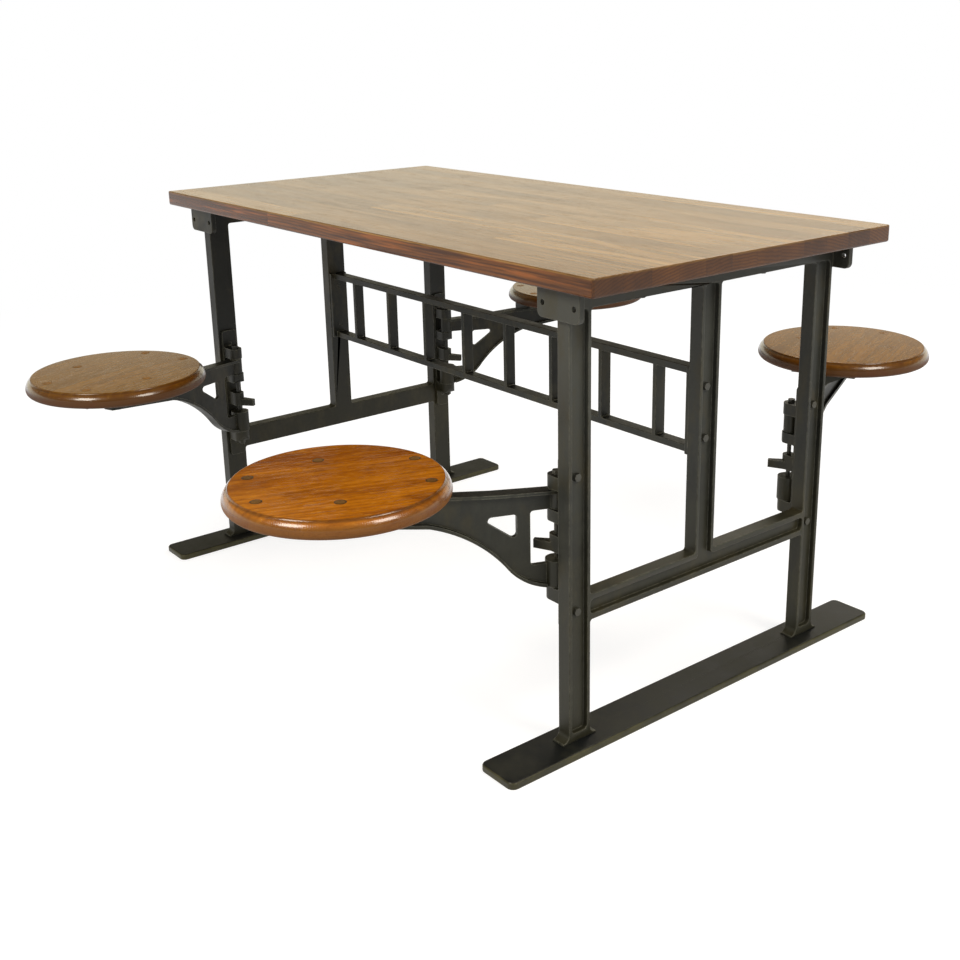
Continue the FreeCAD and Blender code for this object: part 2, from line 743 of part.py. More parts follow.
def make_hinge_bracket(label, side_x, side_y):
    """One casting on a leg: a plate with four lugs that hold the hinge rod."""
    body = new_body(label)
    plate = new_sketch(body, "plate", "YZ", s.hinge_offset)
    half_width = s.bracket_width / 2
    bracket_top = s.bracket_bottom + s.bracket_height
    add_rectangle(plate, -half_width, s.bracket_bottom, half_width, bracket_top)
    pad(plate, s.bracket_thickness, back=True)
    corners = [(y, z) for y in both_ways(half_width) for z in (s.bracket_bottom, bracket_top)]
    fillet(body, straight_edges(body, "X", corners), s.bracket_corner, "plate_corners")
    add_lug(body, "top_lug", s.top_lug_bottom, s.top_lug_height, s.top_lug_radius)
    add_lug(body, "second_lug", s.second_lug_bottom, s.second_lug_height, s.second_lug_radius)
    add_lug(body, "middle_lug", s.middle_lug_bottom, s.middle_lug_height, s.middle_lug_radius)
    add_lug(body, "bottom_lug", s.bottom_lug_bottom, s.bottom_lug_height, s.bottom_lug_radius)
    plate_face = s.hinge_offset - s.bracket_thickness
    lug_roots = [
        (plate_face, s.top_lug_bottom),
        (plate_face, s.top_lug_bottom + s.top_lug_height),
        (plate_face, s.second_lug_bottom),
        (plate_face, second_lug_top),
        (plate_face, s.middle_lug_bottom),
        (plate_face, s.middle_lug_bottom + s.middle_lug_height),
        (plate_face, bottom_lug_top),
    ]
    fillet(body, straight_edges(body, "Y", lug_roots), s.lug_fillet, "lug_fillets")

    nose = new_sketch(body, "nose", "XY", s.middle_lug_bottom)
    along, across = cosine(s.nose_turn), sine(s.nose_turn)
    tip_x, tip_y = -s.nose_reach * along, -s.nose_reach * across
    half_tip = s.nose_tip_width / 2
    add_loop(
        nose,
        [
            (0, s.middle_lug_radius),
            (tip_x - half_tip * across, tip_y + half_tip * along),
            (tip_x + half_tip * across, tip_y - half_tip * along),
            (0, -s.middle_lug_radius),
        ],
    )
    pad(nose, s.nose_height)
    bevel_lug(body, "bottom_bevel", s.bottom_lug_bottom, s.bottom_lug_radius, s.bottom_lug_rise)
    bevel_lug(body, "second_bevel", s.second_lug_bottom, s.second_lug_radius, s.second_lug_rise)
    rod_hole = new_sketch(body, "rod_hole", "XY", s.bracket_bottom)
    add_circle(rod_hole, 0, 0, s.rod_radius + s.running_play)
    pocket(rod_hole, s.bracket_height, back=True)
    bolt_holes = new_sketch(body, "bolt_holes", "YZ", s.hinge_offset)
    for z in bracket_bolt_levels:
        add_circle(bolt_holes, 0, z, s.bolt_radius + s.screw_play)
    pocket(bolt_holes, s.bracket_thickness)
    place(body, side_x * hinge_x, side_y * leg_centre, 90 - side_x * 90)


def make_hinge_rod(label, side_x, side_y):
    """A headed rod through all the lugs and both knuckles."""
    body = new_body(label)
    rod_bottom = s.bottom_lug_bottom - s.rod_tail
    shank = new_sketch(body, "shank", "XY", rod_bottom)
    add_circle(shank, 0, 0, s.rod_radius)
    head_level = s.top_lug_bottom + s.top_lug_height
    pad(shank, head_level - rod_bottom)
    head = new_sketch(body, "head", "XY", head_level)
    add_hexagon(head, 0, 0, s.rod_head_radius)
    pad(head, s.rod_head_height)
    place(body, side_x * hinge_x, side_y * leg_centre, 0)


def add_hexagon(sketch, x, y, corner_radius):
    """Draw a hexagon with two sides along the sketch's first axis."""
    half = corner_radius / 2
    flat = corner_radius * math.sin(math.radians(60))
    add_loop(
        sketch,
        [
            (x + corner_radius, y),
            (x + half, y + flat),
            (x - half, y + flat),
            (x - corner_radius, y),
            (x - half, y - flat),
            (x + half, y - flat),
        ],
    )


def make_rod_nuts():
    """Four nuts under the bottom lugs."""
    body = new_body("hinge_rod_nuts")
    nuts = new_sketch(body, "nuts", "XY", s.bottom_lug_bottom)
    for x in both_ways(hinge_x):
        for y in both_ways(leg_centre):
            add_hexagon(nuts, x, y, s.nut_radius)
            add_circle(nuts, x, y, s.rod_radius + s.screw_play)
    pad(nuts, s.nut_height, back=True)


# ---------------------------------------------------------------------------
# Swing arms
# ---------------------------------------------------------------------------


def make_swing_arm(label, x, y, heading):
    """One casting: web, flange, rim, strut, two knuckles and a six-pronged seat carrier."""
    body = new_body(label)
    upper_bottom = second_lug_top + s.bearing_gap
    upper_top = s.top_lug_bottom - s.bearing_gap
    lower_bottom = bottom_lug_top + s.bearing_gap
    web = new_sketch(body, "web", "XZ")
    add_loop(
        web,
        [
            (0, lower_bottom),
            (s.lower_knuckle_radius, lower_bottom, s.heel_radius),
            (s.arch_foot_reach, s.arch_foot_level, -s.arch_radius),
            (s.arch_head_reach, s.arch_head_level),
            (s.spine_reach, s.spine_level),
            (s.spine_reach, s.flange_level),
            (s.flange_head_reach, s.flange_level),
            (s.flange_bend_reach, s.flange_bend_level),
            (0, s.flange_root_level),
            (0, upper_bottom),
            (s.strut_inner, upper_bottom),
            (s.strut_inner, s.window_floor),
            (0, s.window_floor),
        ],
    )
    pad(web, s.web_thickness, both=True)
    window = [(s.strut_inner, upper_bottom), (s.strut_inner, s.window_floor)]
    fillet(body, straight_edges(body, "Y", window), s.window_round, "window_rounds")
    eye = new_sketch(body, "eye", "XZ")
    eye_start = s.strut_inner + s.strut_width
    add_loop(
        eye,
        [
            (eye_start, s.eye_top - s.eye_height),
            (eye_start + s.eye_length, s.eye_top),
            (eye_start, s.eye_top),
        ],
    )
    pocket(eye, s.web_thickness, both=True)
    eye_corners = [
        (eye_start, s.eye_top - s.eye_height),
        (eye_start + s.eye_length, s.eye_top),
        (eye_start, s.eye_top),
    ]
    fillet(body, straight_edges(body, "Y", eye_corners), s.eye_round, "eye_rounds")

    flange = new_sketch(body, "flange", "XZ")
    add_loop(
        flange,
        [
            (0, s.flange_root_level - s.flange_thickness),
            (s.flange_bend_reach, s.flange_bend_level - s.flange_thickness),
            (s.flange_head_reach, s.flange_level - s.flange_thickness),
            (s.spine_reach, s.flange_level - s.flange_thickness),
            (s.spine_reach, s.flange_level),
            (s.flange_head_reach, s.flange_level),
            (s.flange_bend_reach, s.flange_bend_level),
            (0, s.flange_root_level),
        ],
    )
    pad(flange, s.flange_width, both=True)
    rim = new_sketch(body, "rim", "XZ")
    add_loop(
        rim,
        [
            (s.lower_knuckle_radius, lower_bottom, s.heel_radius),
            (s.arch_foot_reach, s.arch_foot_level, -s.arch_radius),
            (s.arch_head_reach, s.arch_head_level),
            (s.spine_reach, s.spine_level),
            (s.spine_reach, s.spine_level + s.rim_thickness),
            (s.arch_head_reach, s.arch_head_level + s.rim_thickness, s.arch_radius),
            (s.arch_foot_reach, s.arch_foot_level + s.rim_thickness, -s.heel_radius),
            (s.lower_knuckle_radius, lower_bottom + s.rim_thickness),
        ],
    )
    pad(rim, s.rim_width, both=True)
    upper = new_sketch(body, "upper_knuckle", "XY", upper_bottom)
    add_circle(upper, 0, 0, s.upper_knuckle_radius)
    pad(upper, upper_top - upper_bottom)
    lower = new_sketch(body, "lower_knuckle", "XY", lower_bottom)
    add_circle(lower, 0, 0, s.lower_knuckle_radius)
    pad(lower, s.lower_knuckle_height - s.bearing_gap)

    hub = new_sketch(body, "hub", "XY", s.spine_level)
    add_circle(hub, s.spine_reach - s.hub_radius, 0, s.hub_radius)
    pad(hub, s.flange_level - s.spine_level)
    prong_bottom = seat_underside - s.prong_thickness
    root_bottom = s.flange_level - s.flange_thickness
    root_reaches = [s.riser_reach, s.spine_reach - s.hub_radius, s.spine_reach - s.hub_radius]
    root_widths = [s.riser_width, s.prong_root_width, s.prong_root_width]
    root_tops = [seat_underside, s.flange_level, s.flange_level]
    names = ["inner", "middle", "outer"]
    half_tip = s.prong_width / 2
    prongs = []
    for name, reach, width, top, (pad_reach, side) in zip(
        names, root_reaches, root_widths, root_tops, seat_pads
    ):
        root = new_sketch(body, f"{name}_prong_root", "XZ")
        add_rectangle(root, reach - width / 2, root_bottom, reach + width / 2, top)
        tip = new_sketch(body, f"{name}_prong_tip", "XZ", side - s.prong_overhang)
        add_rectangle(tip, pad_reach - half_tip, prong_bottom, pad_reach + half_tip, seat_underside)
        prongs.append(loft(root, tip))
        seat_pad = new_sketch(body, f"{name}_pad", "XY", seat_underside)
        low_side = side - s.prong_overhang
        high_side = side + s.prong_overhang
        add_rectangle(seat_pad, pad_reach - half_tip, low_side, pad_reach + half_tip, high_side)
        prongs.append(pad(seat_pad, s.prong_thickness, back=True))
    mirror(prongs, "XZ")

    tapped = new_sketch(body, "tapped_holes", "XY", seat_underside)
    for reach, side in seat_pads:
        for across in both_ways(side):
            add_circle(tapped, reach, across, s.screw_radius + s.screw_play)
    pocket(tapped, s.prong_thickness)
    rod_hole = new_sketch(body, "rod_hole", "XY", s.bracket_bottom)
    add_circle(rod_hole, 0, 0, s.rod_radius + s.running_play)
    pocket(rod_hole, s.bracket_height, back=True)
    place(body, x, y, heading)


# ---------------------------------------------------------------------------
# Seats with their screws and plugs
# ---------------------------------------------------------------------------


def over_pads(sketch, add_shape, radius):
    """Draw a circle or a hexagon over each pad of the arm."""
    for reach, side in seat_pads:
        for across in both_ways(side):
            add_shape(sketch, reach - s.seat_reach, across, radius)


def make_seat(label, x, y, heading):
    """A turned disc: flat top with a small step, full rim and rounded underside, in short bevels."""
    body = new_body(label)
    section = new_sketch(body, "section", "XZ")
    flat_edge = s.seat_radius - s.seat_lip
    rim_top = s.seat_top - s.seat_lip_drop
    rim_foot = s.seat_top - s.seat_edge_drop
    quarter = [math.radians(angle) for angle in (0, 30, 60, 90)]
    under_curve = [
        (
            s.seat_radius - s.seat_lower_curve * (1 - math.sin(angle)),
            seat_underside + s.seat_lower_curve * (1 - math.cos(angle)),
        )
        for angle in quarter
    ]
    upper_curve = [
        (
            s.seat_radius - s.seat_lip * (1 - math.cos(angle)),
            rim_foot + (rim_top - rim_foot) * math.sin(angle),
        )
        for angle in quarter
    ]
    centre_line = [(0, s.seat_top), (0, seat_underside)]
    add_loop(section, under_curve + upper_curve + [(flat_edge, s.seat_top)] + centre_line)
    revolve(section)
    plug_holes = new_sketch(body, "plug_holes", "XY", s.seat_top)
    over_pads(plug_holes, add_circle, s.plug_radius + s.screw_play)
    pocket(plug_holes, s.plug_thickness + s.screw_head_height)
    screw_holes = new_sketch(body, "screw_holes", "XY", s.seat_top)
    over_pads(screw_holes, add_circle, s.screw_radius + s.screw_play)
    pocket(screw_holes, s.seat_thickness)
    place(body, x, y, heading)


def make_seat_screws(label, x, y, heading):
    """Six screws from above into the arm's pads."""
    body = new_body(label)
    head_seat = s.seat_top - s.plug_thickness - s.screw_head_height
    shanks = new_sketch(body, "shanks", "XY", head_seat)
    over_pads(shanks, add_circle, s.screw_radius)
    pad(shanks, head_seat - seat_underside + s.prong_thickness, back=True)
    heads = new_sketch(body, "heads", "XY", head_seat)
    over_pads(heads, add_hexagon, s.screw_head_radius)
    pad(heads, s.screw_head_height)
    place(body, x, y, heading)


def make_seat_plugs(label, x, y, heading):
    """Six wooden plugs, flush with the seat, that hide the screws."""
    body = new_body(label)
    plugs = new_sketch(body, "plugs", "XY", s.seat_top)
    over_pads(plugs, add_circle, s.plug_radius)
    pad(plugs, s.plug_thickness, back=True)
    place(body, x, y, heading)


# ---------------------------------------------------------------------------
# Bolts and screws of the frame
# ---------------------------------------------------------------------------


def make_cross_bolts(label, places, inner_end):
    """Bolts through both end frames, heads in the channel, at (y, z) places."""
    body = new_body(label)
    seat = frame_centre + channel_floor
    shanks = new_sketch(body, "shanks", "YZ", seat)
    heads = new_sketch(body, "heads", "YZ", seat)
    for y, z in places:
        add_circle(shanks, y, z, s.bolt_radius)
        add_hexagon(heads, y, z, s.bolt_head_radius)
    shank_pad = pad(shanks, seat - inner_end, back=True)
    head_pad = pad(heads, s.bolt_head_height)
    mirror([shank_pad, head_pad], "YZ")


def make_upright_screws(label, places, head_bottom, length):
    """Screws that point up, at (x, y) places; each length runs from under the head."""
    body = new_body(label)
    heads = new_sketch(body, "heads", "XY", head_bottom)
    shanks = new_sketch(body, "shanks", "XY", head_bottom + s.screw_head_height)
    for x, y in places:
        add_hexagon(heads, x, y, s.screw_head_radius)
        add_circle(shanks, x, y, s.screw_radius)
    pad(heads, s.screw_head_height)
    pad(shanks, length)


# ---------------------------------------------------------------------------
# Assembly
# ---------------------------------------------------------------------------

SIDES = [("front_right", 1, -1), ("front_left", -1, -1), ("back_right", 1, 1), ("back_left", -1, 1)]


def build():
    """Make every sub-part."""
    make_table_top()
    for name, side in (("right", 1), ("left", -1)):
        make_end_frame(f"end_frame_{name}", side)
        make_foot_runner(f"foot_runner_{name}", side)
    make_ladder_stretcher()
    make_rod_nuts()
    for corner, side_x, side_y in SIDES:
        make_hinge_bracket(f"hinge_bracket_{corner}", side_x, side_y)
        make_hinge_rod(f"hinge_rod_{corner}", side_x, side_y)
        heading = side_y * 90 + side_x * side_y * s.rest_swing
        hinge_y = side_y * leg_centre
        make_swing_arm(f"swing_arm_{corner}", side_x * hinge_x, hinge_y, heading)
        reach_x = side_x * hinge_x + s.seat_reach * cosine(heading)
        reach_y = hinge_y + s.seat_reach * sine(heading)
        make_seat(f"seat_{corner}", reach_x, reach_y, heading)
        make_seat_screws(f"seat_screws_{corner}", reach_x, reach_y, heading)
        make_seat_plugs(f"seat_plugs_{corner}", reach_x, reach_y, heading)
    bracket_places = [(y, z) for y in both_ways(leg_centre) for z in bracket_bolt_levels]
    plate_face = frame_inner_face - s.bracket_thickness
    make_cross_bolts("hinge_bolts", bracket_places, plate_face)
    stretcher_places = [(0, z) for z in stretcher_bolt_levels]
    make_cross_bolts("stretcher_bolts", stretcher_places, frame_inner_face - s.end_plate_thickness)
    foot_places = [(x, y) for x in both_ways(screw_line) for y in both_ways(leg_centre)]
    make_upright_screws("runner_screws", foot_places, 0, s.runner_screw_length)
    bar_places = [(x, y) for x in both_ways(screw_line) for y in both_ways(s.top_screw_place)]
    bar_head = bar_underside - s.screw_head_height
    make_upright_screws("top_screws", bar_places, bar_head, s.bar_height + s.top_screw_bite)


def check():
    """Stop if anything in the document failed."""
    document.recompute()
    for item in document.Objects:
        if "Invalid" in item.State or "Error" in item.State:
            raise RuntimeError(f"{item.Name} is {item.State}")
    for body in sub_parts:
        if body.Shape.isNull() or not body.Shape.isValid() or not body.Shape.Solids:
            raise RuntimeError(f"{body.Label} has no valid solid")


def export():
    """Write one STEP file for each sub-part."""
    os.makedirs("parts", exist_ok=True)
    for body in sub_parts:
        body.Shape.exportStep(f"parts/{body.Label}.step")
        print(f"{body.Label}: {len(body.Shape.Solids)} solids, {body.Shape.Volume:.0f} mm3")


build()
check()
export()
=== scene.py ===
# %% [markdown]
# # A dining table with four swing-out seats
#
# The table is a glued wooden top on two cast-iron end frames. A ladder-shaped stretcher joins the
# frames, and each leg carries a hinge with a cast arm and a round wooden seat. The engineering model
# already holds every piece at its real size. This lesson gives those pieces their finish: it replaces
# the wooden ones with softer surfaces, breaks the sharp edges of the castings, and builds the
# materials from nodes.

import json
import math

import bmesh
import bpy
import numpy as np
from mathutils import Matrix, Vector

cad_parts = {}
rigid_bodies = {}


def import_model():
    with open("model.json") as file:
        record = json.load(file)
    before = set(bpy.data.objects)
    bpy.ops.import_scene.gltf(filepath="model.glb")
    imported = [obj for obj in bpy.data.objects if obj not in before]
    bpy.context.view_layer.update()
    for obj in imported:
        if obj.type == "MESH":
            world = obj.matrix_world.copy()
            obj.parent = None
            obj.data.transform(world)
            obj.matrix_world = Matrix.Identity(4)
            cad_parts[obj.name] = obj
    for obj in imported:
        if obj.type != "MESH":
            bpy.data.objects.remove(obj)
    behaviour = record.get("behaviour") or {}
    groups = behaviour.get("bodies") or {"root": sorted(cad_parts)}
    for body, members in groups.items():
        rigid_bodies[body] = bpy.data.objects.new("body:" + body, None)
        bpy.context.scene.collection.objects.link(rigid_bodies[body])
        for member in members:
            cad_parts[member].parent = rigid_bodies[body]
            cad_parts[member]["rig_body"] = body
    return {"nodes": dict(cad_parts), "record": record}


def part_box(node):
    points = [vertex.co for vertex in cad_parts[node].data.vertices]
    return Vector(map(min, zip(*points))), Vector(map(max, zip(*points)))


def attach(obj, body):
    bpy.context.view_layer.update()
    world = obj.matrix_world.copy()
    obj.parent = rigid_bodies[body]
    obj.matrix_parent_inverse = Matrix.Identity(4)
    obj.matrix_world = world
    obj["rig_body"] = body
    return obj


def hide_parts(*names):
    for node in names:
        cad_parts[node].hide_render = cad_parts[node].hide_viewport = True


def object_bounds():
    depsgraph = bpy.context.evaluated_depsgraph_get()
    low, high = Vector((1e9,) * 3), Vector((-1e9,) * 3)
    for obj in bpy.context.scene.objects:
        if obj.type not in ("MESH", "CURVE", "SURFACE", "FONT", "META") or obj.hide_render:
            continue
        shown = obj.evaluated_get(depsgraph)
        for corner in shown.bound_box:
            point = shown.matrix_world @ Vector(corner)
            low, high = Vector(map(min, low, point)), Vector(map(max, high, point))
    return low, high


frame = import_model()
cad_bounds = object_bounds()
print("nodes in the frame:", len(frame["nodes"]))

# %% [markdown]
# ## Measures
#
# Pieces take their places from the boxes of the loaded nodes, so the looks stay on the frame when a
# size of the table changes. What a box can't give, such as the pattern of the plugs or the pitch of
# the stretcher's uprights, is a named value. A corner of the table is a name such as `front_right`.
# The arm's heading is the direction from its hinge rod to the middle of its seat.

# %% Read the places from the frame
CORNERS = ("front_right", "front_left", "back_right", "back_left")
MILLIMETRE = 0.001


def middle(node):
    """The middle of a node's box."""
    low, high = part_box(node)
    return (low + high) / 2


def arm_heading(corner):
    """The angle of the arm about Z, from the hinge rod to the middle of the seat."""
    reach = middle(f"seat_{corner}") - middle(f"hinge_rod_{corner}")
    return math.atan2(reach.y, reach.x)


headings = {corner: arm_heading(corner) for corner in CORNERS}
print("arm headings:", {corner: round(math.degrees(turn), 1) for corner, turn in headings.items()})

# %% [markdown]
# ## Camera
#
# The camera stands beyond the table's right front corner, a little over a metre above the floor, and
# looks down a little. Its place and angles are plain numbers, because a camera is chosen and not
# built. The matrix has the camera's right, up and backward directions as its columns. A small roll
# turns the first two about the third.

# %% Set the camera
CAMERA_PLACE = Vector((1.84629, -1.44302, 1.08566))
CAMERA_AZIMUTH = math.radians(51.20)
CAMERA_DOWN = math.radians(16.81)
CAMERA_ROLL = math.radians(-0.94)
CAMERA_LENS = 47.15
CAMERA_SHIFT = (-0.0266, -0.0799)


def camera_axes(azimuth, down, roll):
    """Right, up and backward directions of a camera that looks along azimuth and down, then rolls."""
    forward = Vector(
        (-math.sin(azimuth) * math.cos(down), math.cos(azimuth) * math.cos(down), -math.sin(down))
    )
    level = Vector((math.cos(azimuth), math.sin(azimuth), 0))
    upright = level.cross(forward)
    right = level * math.cos(roll) + upright * math.sin(roll)
    up = upright * math.cos(roll) - level * math.sin(roll)
    return right, up, -forward


def make_camera():
    """A camera whose matrix columns are its right, up and backward directions."""
    lens = bpy.data.cameras.new("camera")
    lens.lens = CAMERA_LENS
    lens.shift_x, lens.shift_y = CAMERA_SHIFT
    camera = bpy.data.objects.new("camera", lens)
    turn = Matrix(camera_axes(CAMERA_AZIMUTH, CAMERA_DOWN, CAMERA_ROLL)).transposed()
    camera.matrix_world = Matrix.Translation(CAMERA_PLACE) @ turn.to_4x4()
    bpy.context.scene.collection.objects.link(camera)
    bpy.context.scene.camera = camera


make_camera()
bpy.context.scene.view_settings.view_transform = "Standard"

# %% [markdown]
# ## A short way to write nodes
#
# Every material below is a tree of shader nodes. `Bench` wraps a tree, so that one call adds a node
# and joins its inputs. An input is either a socket, which is linked, or a plain value. `paint` turns
# the red, green and blue of a paint chart, 0 to 255, into the linear numbers that the shader wants.
#
# Most finishes are a ground colour with other colours laid over it where a mask says so. `layered`
# takes them as a table: each row is a mask from 0 to 1, the strength of the layer and its colour. The
# settings of a noise are kept as one named row too, in the order in which `noise` takes them.

# %% Node helpers
WHITE = (1, 1, 1, 1)


def paint(red, green, blue):
    """A display colour as linear numbers: each channel is c / 255 raised by the display's curve."""
    share = np.array([red, green, blue]) / 255
    linear = np.where(share <= 0.04045, share / 12.92, ((share + 0.055) / 1.055) ** 2.4)
    return (*linear.tolist(), 1.0)


class Bench:
    """A node tree with short words for adding nodes and joining them."""

    def __init__(self, tree):
        self.tree = tree

    def feed(self, socket, source):
        """Link a socket, or set a plain value."""
        if isinstance(source, bpy.types.NodeSocket):
            self.tree.links.new(source, socket)
        else:
            socket.default_value = source

    def add(self, kind, feeds=(), **settings):
        """Add a node, set its choices and feed its inputs, each by name or number."""
        node = self.tree.nodes.new(kind)
        for choice, value in settings.items():
            setattr(node, choice, value)
        for name, source in dict(feeds).items():
            self.feed(node.inputs[name], source)
        return node

    def math(self, operation, *values, clamp=False):
        """One arithmetic step."""
        feeds = dict(enumerate(values))
        return self.add("ShaderNodeMath", feeds, operation=operation, use_clamp=clamp).outputs[0]

    def times(self, first, second):
        """The product of two values."""
        return self.math("MULTIPLY", first, second)

    def times_plus(self, value, factor, extra):
        """A value times a factor, plus something extra."""
        return self.math("MULTIPLY_ADD", value, factor, extra)

    def minus(self, first, second):
        """The first value less the second."""
        return self.math("SUBTRACT", first, second)

    def span(self, value, low, high, to_low=0.0, to_high=1.0):
        """Stretch low..high to to_low..to_high, with smooth ends and nothing outside."""
        feeds = {0: value, 1: low, 2: high, 3: to_low, 4: to_high}
        return self.add("ShaderNodeMapRange", feeds, interpolation_type="SMOOTHSTEP").outputs[0]

    def vector(self, operation, *values):
        """One arithmetic step on vectors."""
        return self.add("ShaderNodeVectorMath", dict(enumerate(values)), operation=operation).outputs[0]

    def stretched(self, place, x, y, z):
        """A place with its X, Y and Z multiplied. A pattern on it is longer where the factor is small."""
        return self.vector("MULTIPLY", place, (x, y, z))

    def length(self, vector):
        """The length of a vector."""
        return self.add("ShaderNodeVectorMath", {0: vector}, operation="LENGTH").outputs["Value"]

    def parts(self, place):
        """X, Y and Z of a vector."""
        return self.add("ShaderNodeSeparateXYZ", {0: place}).outputs

    def joined(self, x, y, z):
        """A vector from X, Y and Z."""
        return self.add("ShaderNodeCombineXYZ", {0: x, 1: y, 2: z}).outputs[0]

    def noise(self, place, scale, detail=2.0, roughness=0.5, distortion=0.0):
        """Smooth noise from 0 to 1; scale counts its bumps in a metre."""
        feeds = {"Vector": place, "Scale": scale, "Detail": detail}
        feeds.update({"Roughness": roughness, "Distortion": distortion})
        return self.add("ShaderNodeTexNoise", feeds).outputs[0]

    def blend(self, factor, first, second):
        """Mix two colours: 0 gives the first and 1 the second."""
        return self.add("ShaderNodeMix", {0: factor, 6: first, 7: second}, data_type="RGBA").outputs[2]

    def layered(self, colour, layers):
        """Lay colours over the first one, in turn. A layer is a mask, its strength and its colour."""
        for mask, strength, over in layers:
            colour = self.blend(self.times(mask, strength), colour, over)
        return colour


def new_group(name, inputs, outputs):
    """A shader node group. Inputs are (name, socket kind, value) and outputs are names of numbers."""
    group = bpy.data.node_groups.new(name, "ShaderNodeTree")
    for label, kind, value in inputs:
        socket = group.interface.new_socket(label, in_out="INPUT", socket_type=kind)
        if value is not None:
            socket.default_value = value
    for label in outputs:
        group.interface.new_socket(label, in_out="OUTPUT", socket_type="NodeSocketFloat")
    bench = Bench(group)
    return group, bench, bench.add("NodeGroupInput").outputs, bench.add("NodeGroupOutput").inputs


def place_group(bench, group, feeds):
    """Put a node group into a material and return its outputs."""
    return bench.add("ShaderNodeGroup", feeds, node_tree=group).outputs


# %% [markdown]
# ## Stage and light
#
# The floor and the far background are plain white. The background's white comes from the Light Path
# node: a ray that comes straight from the camera, or off a glossy face, sees a strength of 1, while
# the light that falls on the object is softer. A glossy face sees a slightly warm horizon, and above
# it the dim, warm ceiling of a room. Without that ceiling, every level face would wear a white veil.
# The floor keeps the object's shadow, because only part of its white is given and the rest is the
# light that reaches it. Further out the floor fades to the background's white, so no horizon shows.

# %% Stage values
SKY_STRENGTH = 0.53
CEILING = (0.2, 0.17, 0.1, 1.0)
HORIZON = (1.0, 0.97, 0.79, 1.0)
# How far a ray of length 1 rises, where the ceiling begins and where it is full.
CEILING_START, CEILING_FULL = 0.205, 0.262
FLOOR_GLOW = 0.7
FLOOR_PAINT = paint(178, 178, 178)
FLOOR_SIZE = 30.0
FADE_START, FADE_END = 1.6, 3.4

# %% Build the world and the floor


def seen_directly(bench):
    """1 for a ray from the camera, off a glossy face or through glass, and 0 for other rays."""
    path = bench.add("ShaderNodeLightPath").outputs
    seen = bench.math("MAXIMUM", path["Is Camera Ray"], path["Is Glossy Ray"])
    return bench.math("MAXIMUM", seen, path["Is Transmission Ray"])


def make_world():
    """A white sky: full strength where it is seen, softer where it lights, and a room for gloss."""
    world = bpy.data.worlds.new("studio")
    world.use_nodes = True
    world.node_tree.nodes.clear()
    bench = Bench(world.node_tree)
    strength = bench.times_plus(seen_directly(bench), 1 - SKY_STRENGTH, SKY_STRENGTH)
    rise = bench.parts(bench.add("ShaderNodeTexCoord").outputs["Generated"])["Z"]
    room = bench.blend(bench.span(rise, CEILING_START, CEILING_FULL), HORIZON, CEILING)
    glossy = bench.add("ShaderNodeLightPath").outputs["Is Glossy Ray"]
    feeds = {"Color": bench.blend(glossy, WHITE, room), "Strength": strength}
    sky = bench.add("ShaderNodeBackground", feeds)
    bench.add("ShaderNodeOutputWorld", {"Surface": sky.outputs[0]})
    bpy.context.scene.world = world


def floor_material():
    """Pale floor: its own light plus a glow for the camera, fading to full white far out."""
    material = bpy.data.materials.new("floor_white")
    material.use_nodes = True
    material.node_tree.nodes.clear()
    bench = Bench(material.node_tree)
    distance = bench.length(bench.add("ShaderNodeTexCoord").outputs["Object"])
    far = bench.span(distance, FADE_START, FADE_END)
    seen = seen_directly(bench)
    glow = bench.times(seen, FLOOR_GLOW)
    matt = bench.add("ShaderNodeBsdfDiffuse", {"Color": FLOOR_PAINT})
    near_light = bench.add("ShaderNodeEmission", {"Color": WHITE, "Strength": glow})
    near = bench.add("ShaderNodeAddShader", {0: matt.outputs[0], 1: near_light.outputs[0]})
    white = bench.add("ShaderNodeEmission", {"Color": WHITE, "Strength": seen})
    mix = bench.add("ShaderNodeMixShader", {0: far, 1: near.outputs[0], 2: white.outputs[0]})
    bench.add("ShaderNodeOutputMaterial", {"Surface": mix.outputs[0]})
    return material


def make_floor():
    """One large square at the height of the lowest point of the object."""
    half = FLOOR_SIZE / 2
    level = cad_bounds[0][2]
    corners = [(-half, -half, level), (half, -half, level), (half, half, level), (-half, half, level)]
    mesh = bpy.data.meshes.new("floor")
    mesh.from_pydata(corners, [], [(0, 1, 2, 3)])
    mesh.materials.append(floor_material())
    floor = bpy.data.objects.new("floor", mesh)
    bpy.context.scene.collection.objects.link(floor)


make_world()
make_floor()

# %% [markdown]
# Three soft lamps with a slightly warm light do the rest. The key lamp hangs in front of the table and
# the fill lamp on its right, and each draws a bright streak on the rims of the seats. A wide one
# stands behind.

# %% Hang the lamps
LAMP_COLOUR = (1.0, 0.93, 0.82)
LAMPS = [
    # name, place, target, width, height, watts
    ("key", (0.6, -3.2, 2.8), (0.3, -0.3, 0.5), 1.3, 1.2, 66),
    ("fill", (2.9, 0.4, 2.8), (0.2, 0.0, 0.5), 1.3, 1.2, 56),
    ("back", (-0.9, 3.3, 3.0), (0.0, 0.0, 0.7), 2.6, 1.4, 48),
]


def hang_lamp(name, place, target, width, height, watts):
    """A rectangular soft lamp that faces its target."""
    light = bpy.data.lights.new(name, "AREA")
    light.shape = "RECTANGLE"
    light.size, light.size_y, light.energy = width, height, watts
    light.color = LAMP_COLOUR
    lamp = bpy.data.objects.new(name, light)
    aim = (Vector(target) - Vector(place)).to_track_quat("-Z", "Y")
    lamp.matrix_world = Matrix.Translation(place) @ aim.to_matrix().to_4x4()
    bpy.context.scene.collection.objects.link(lamp)


for lamp_values in LAMPS:
    hang_lamp(*lamp_values)
print("lamps:", [values[0] for values in LAMPS])

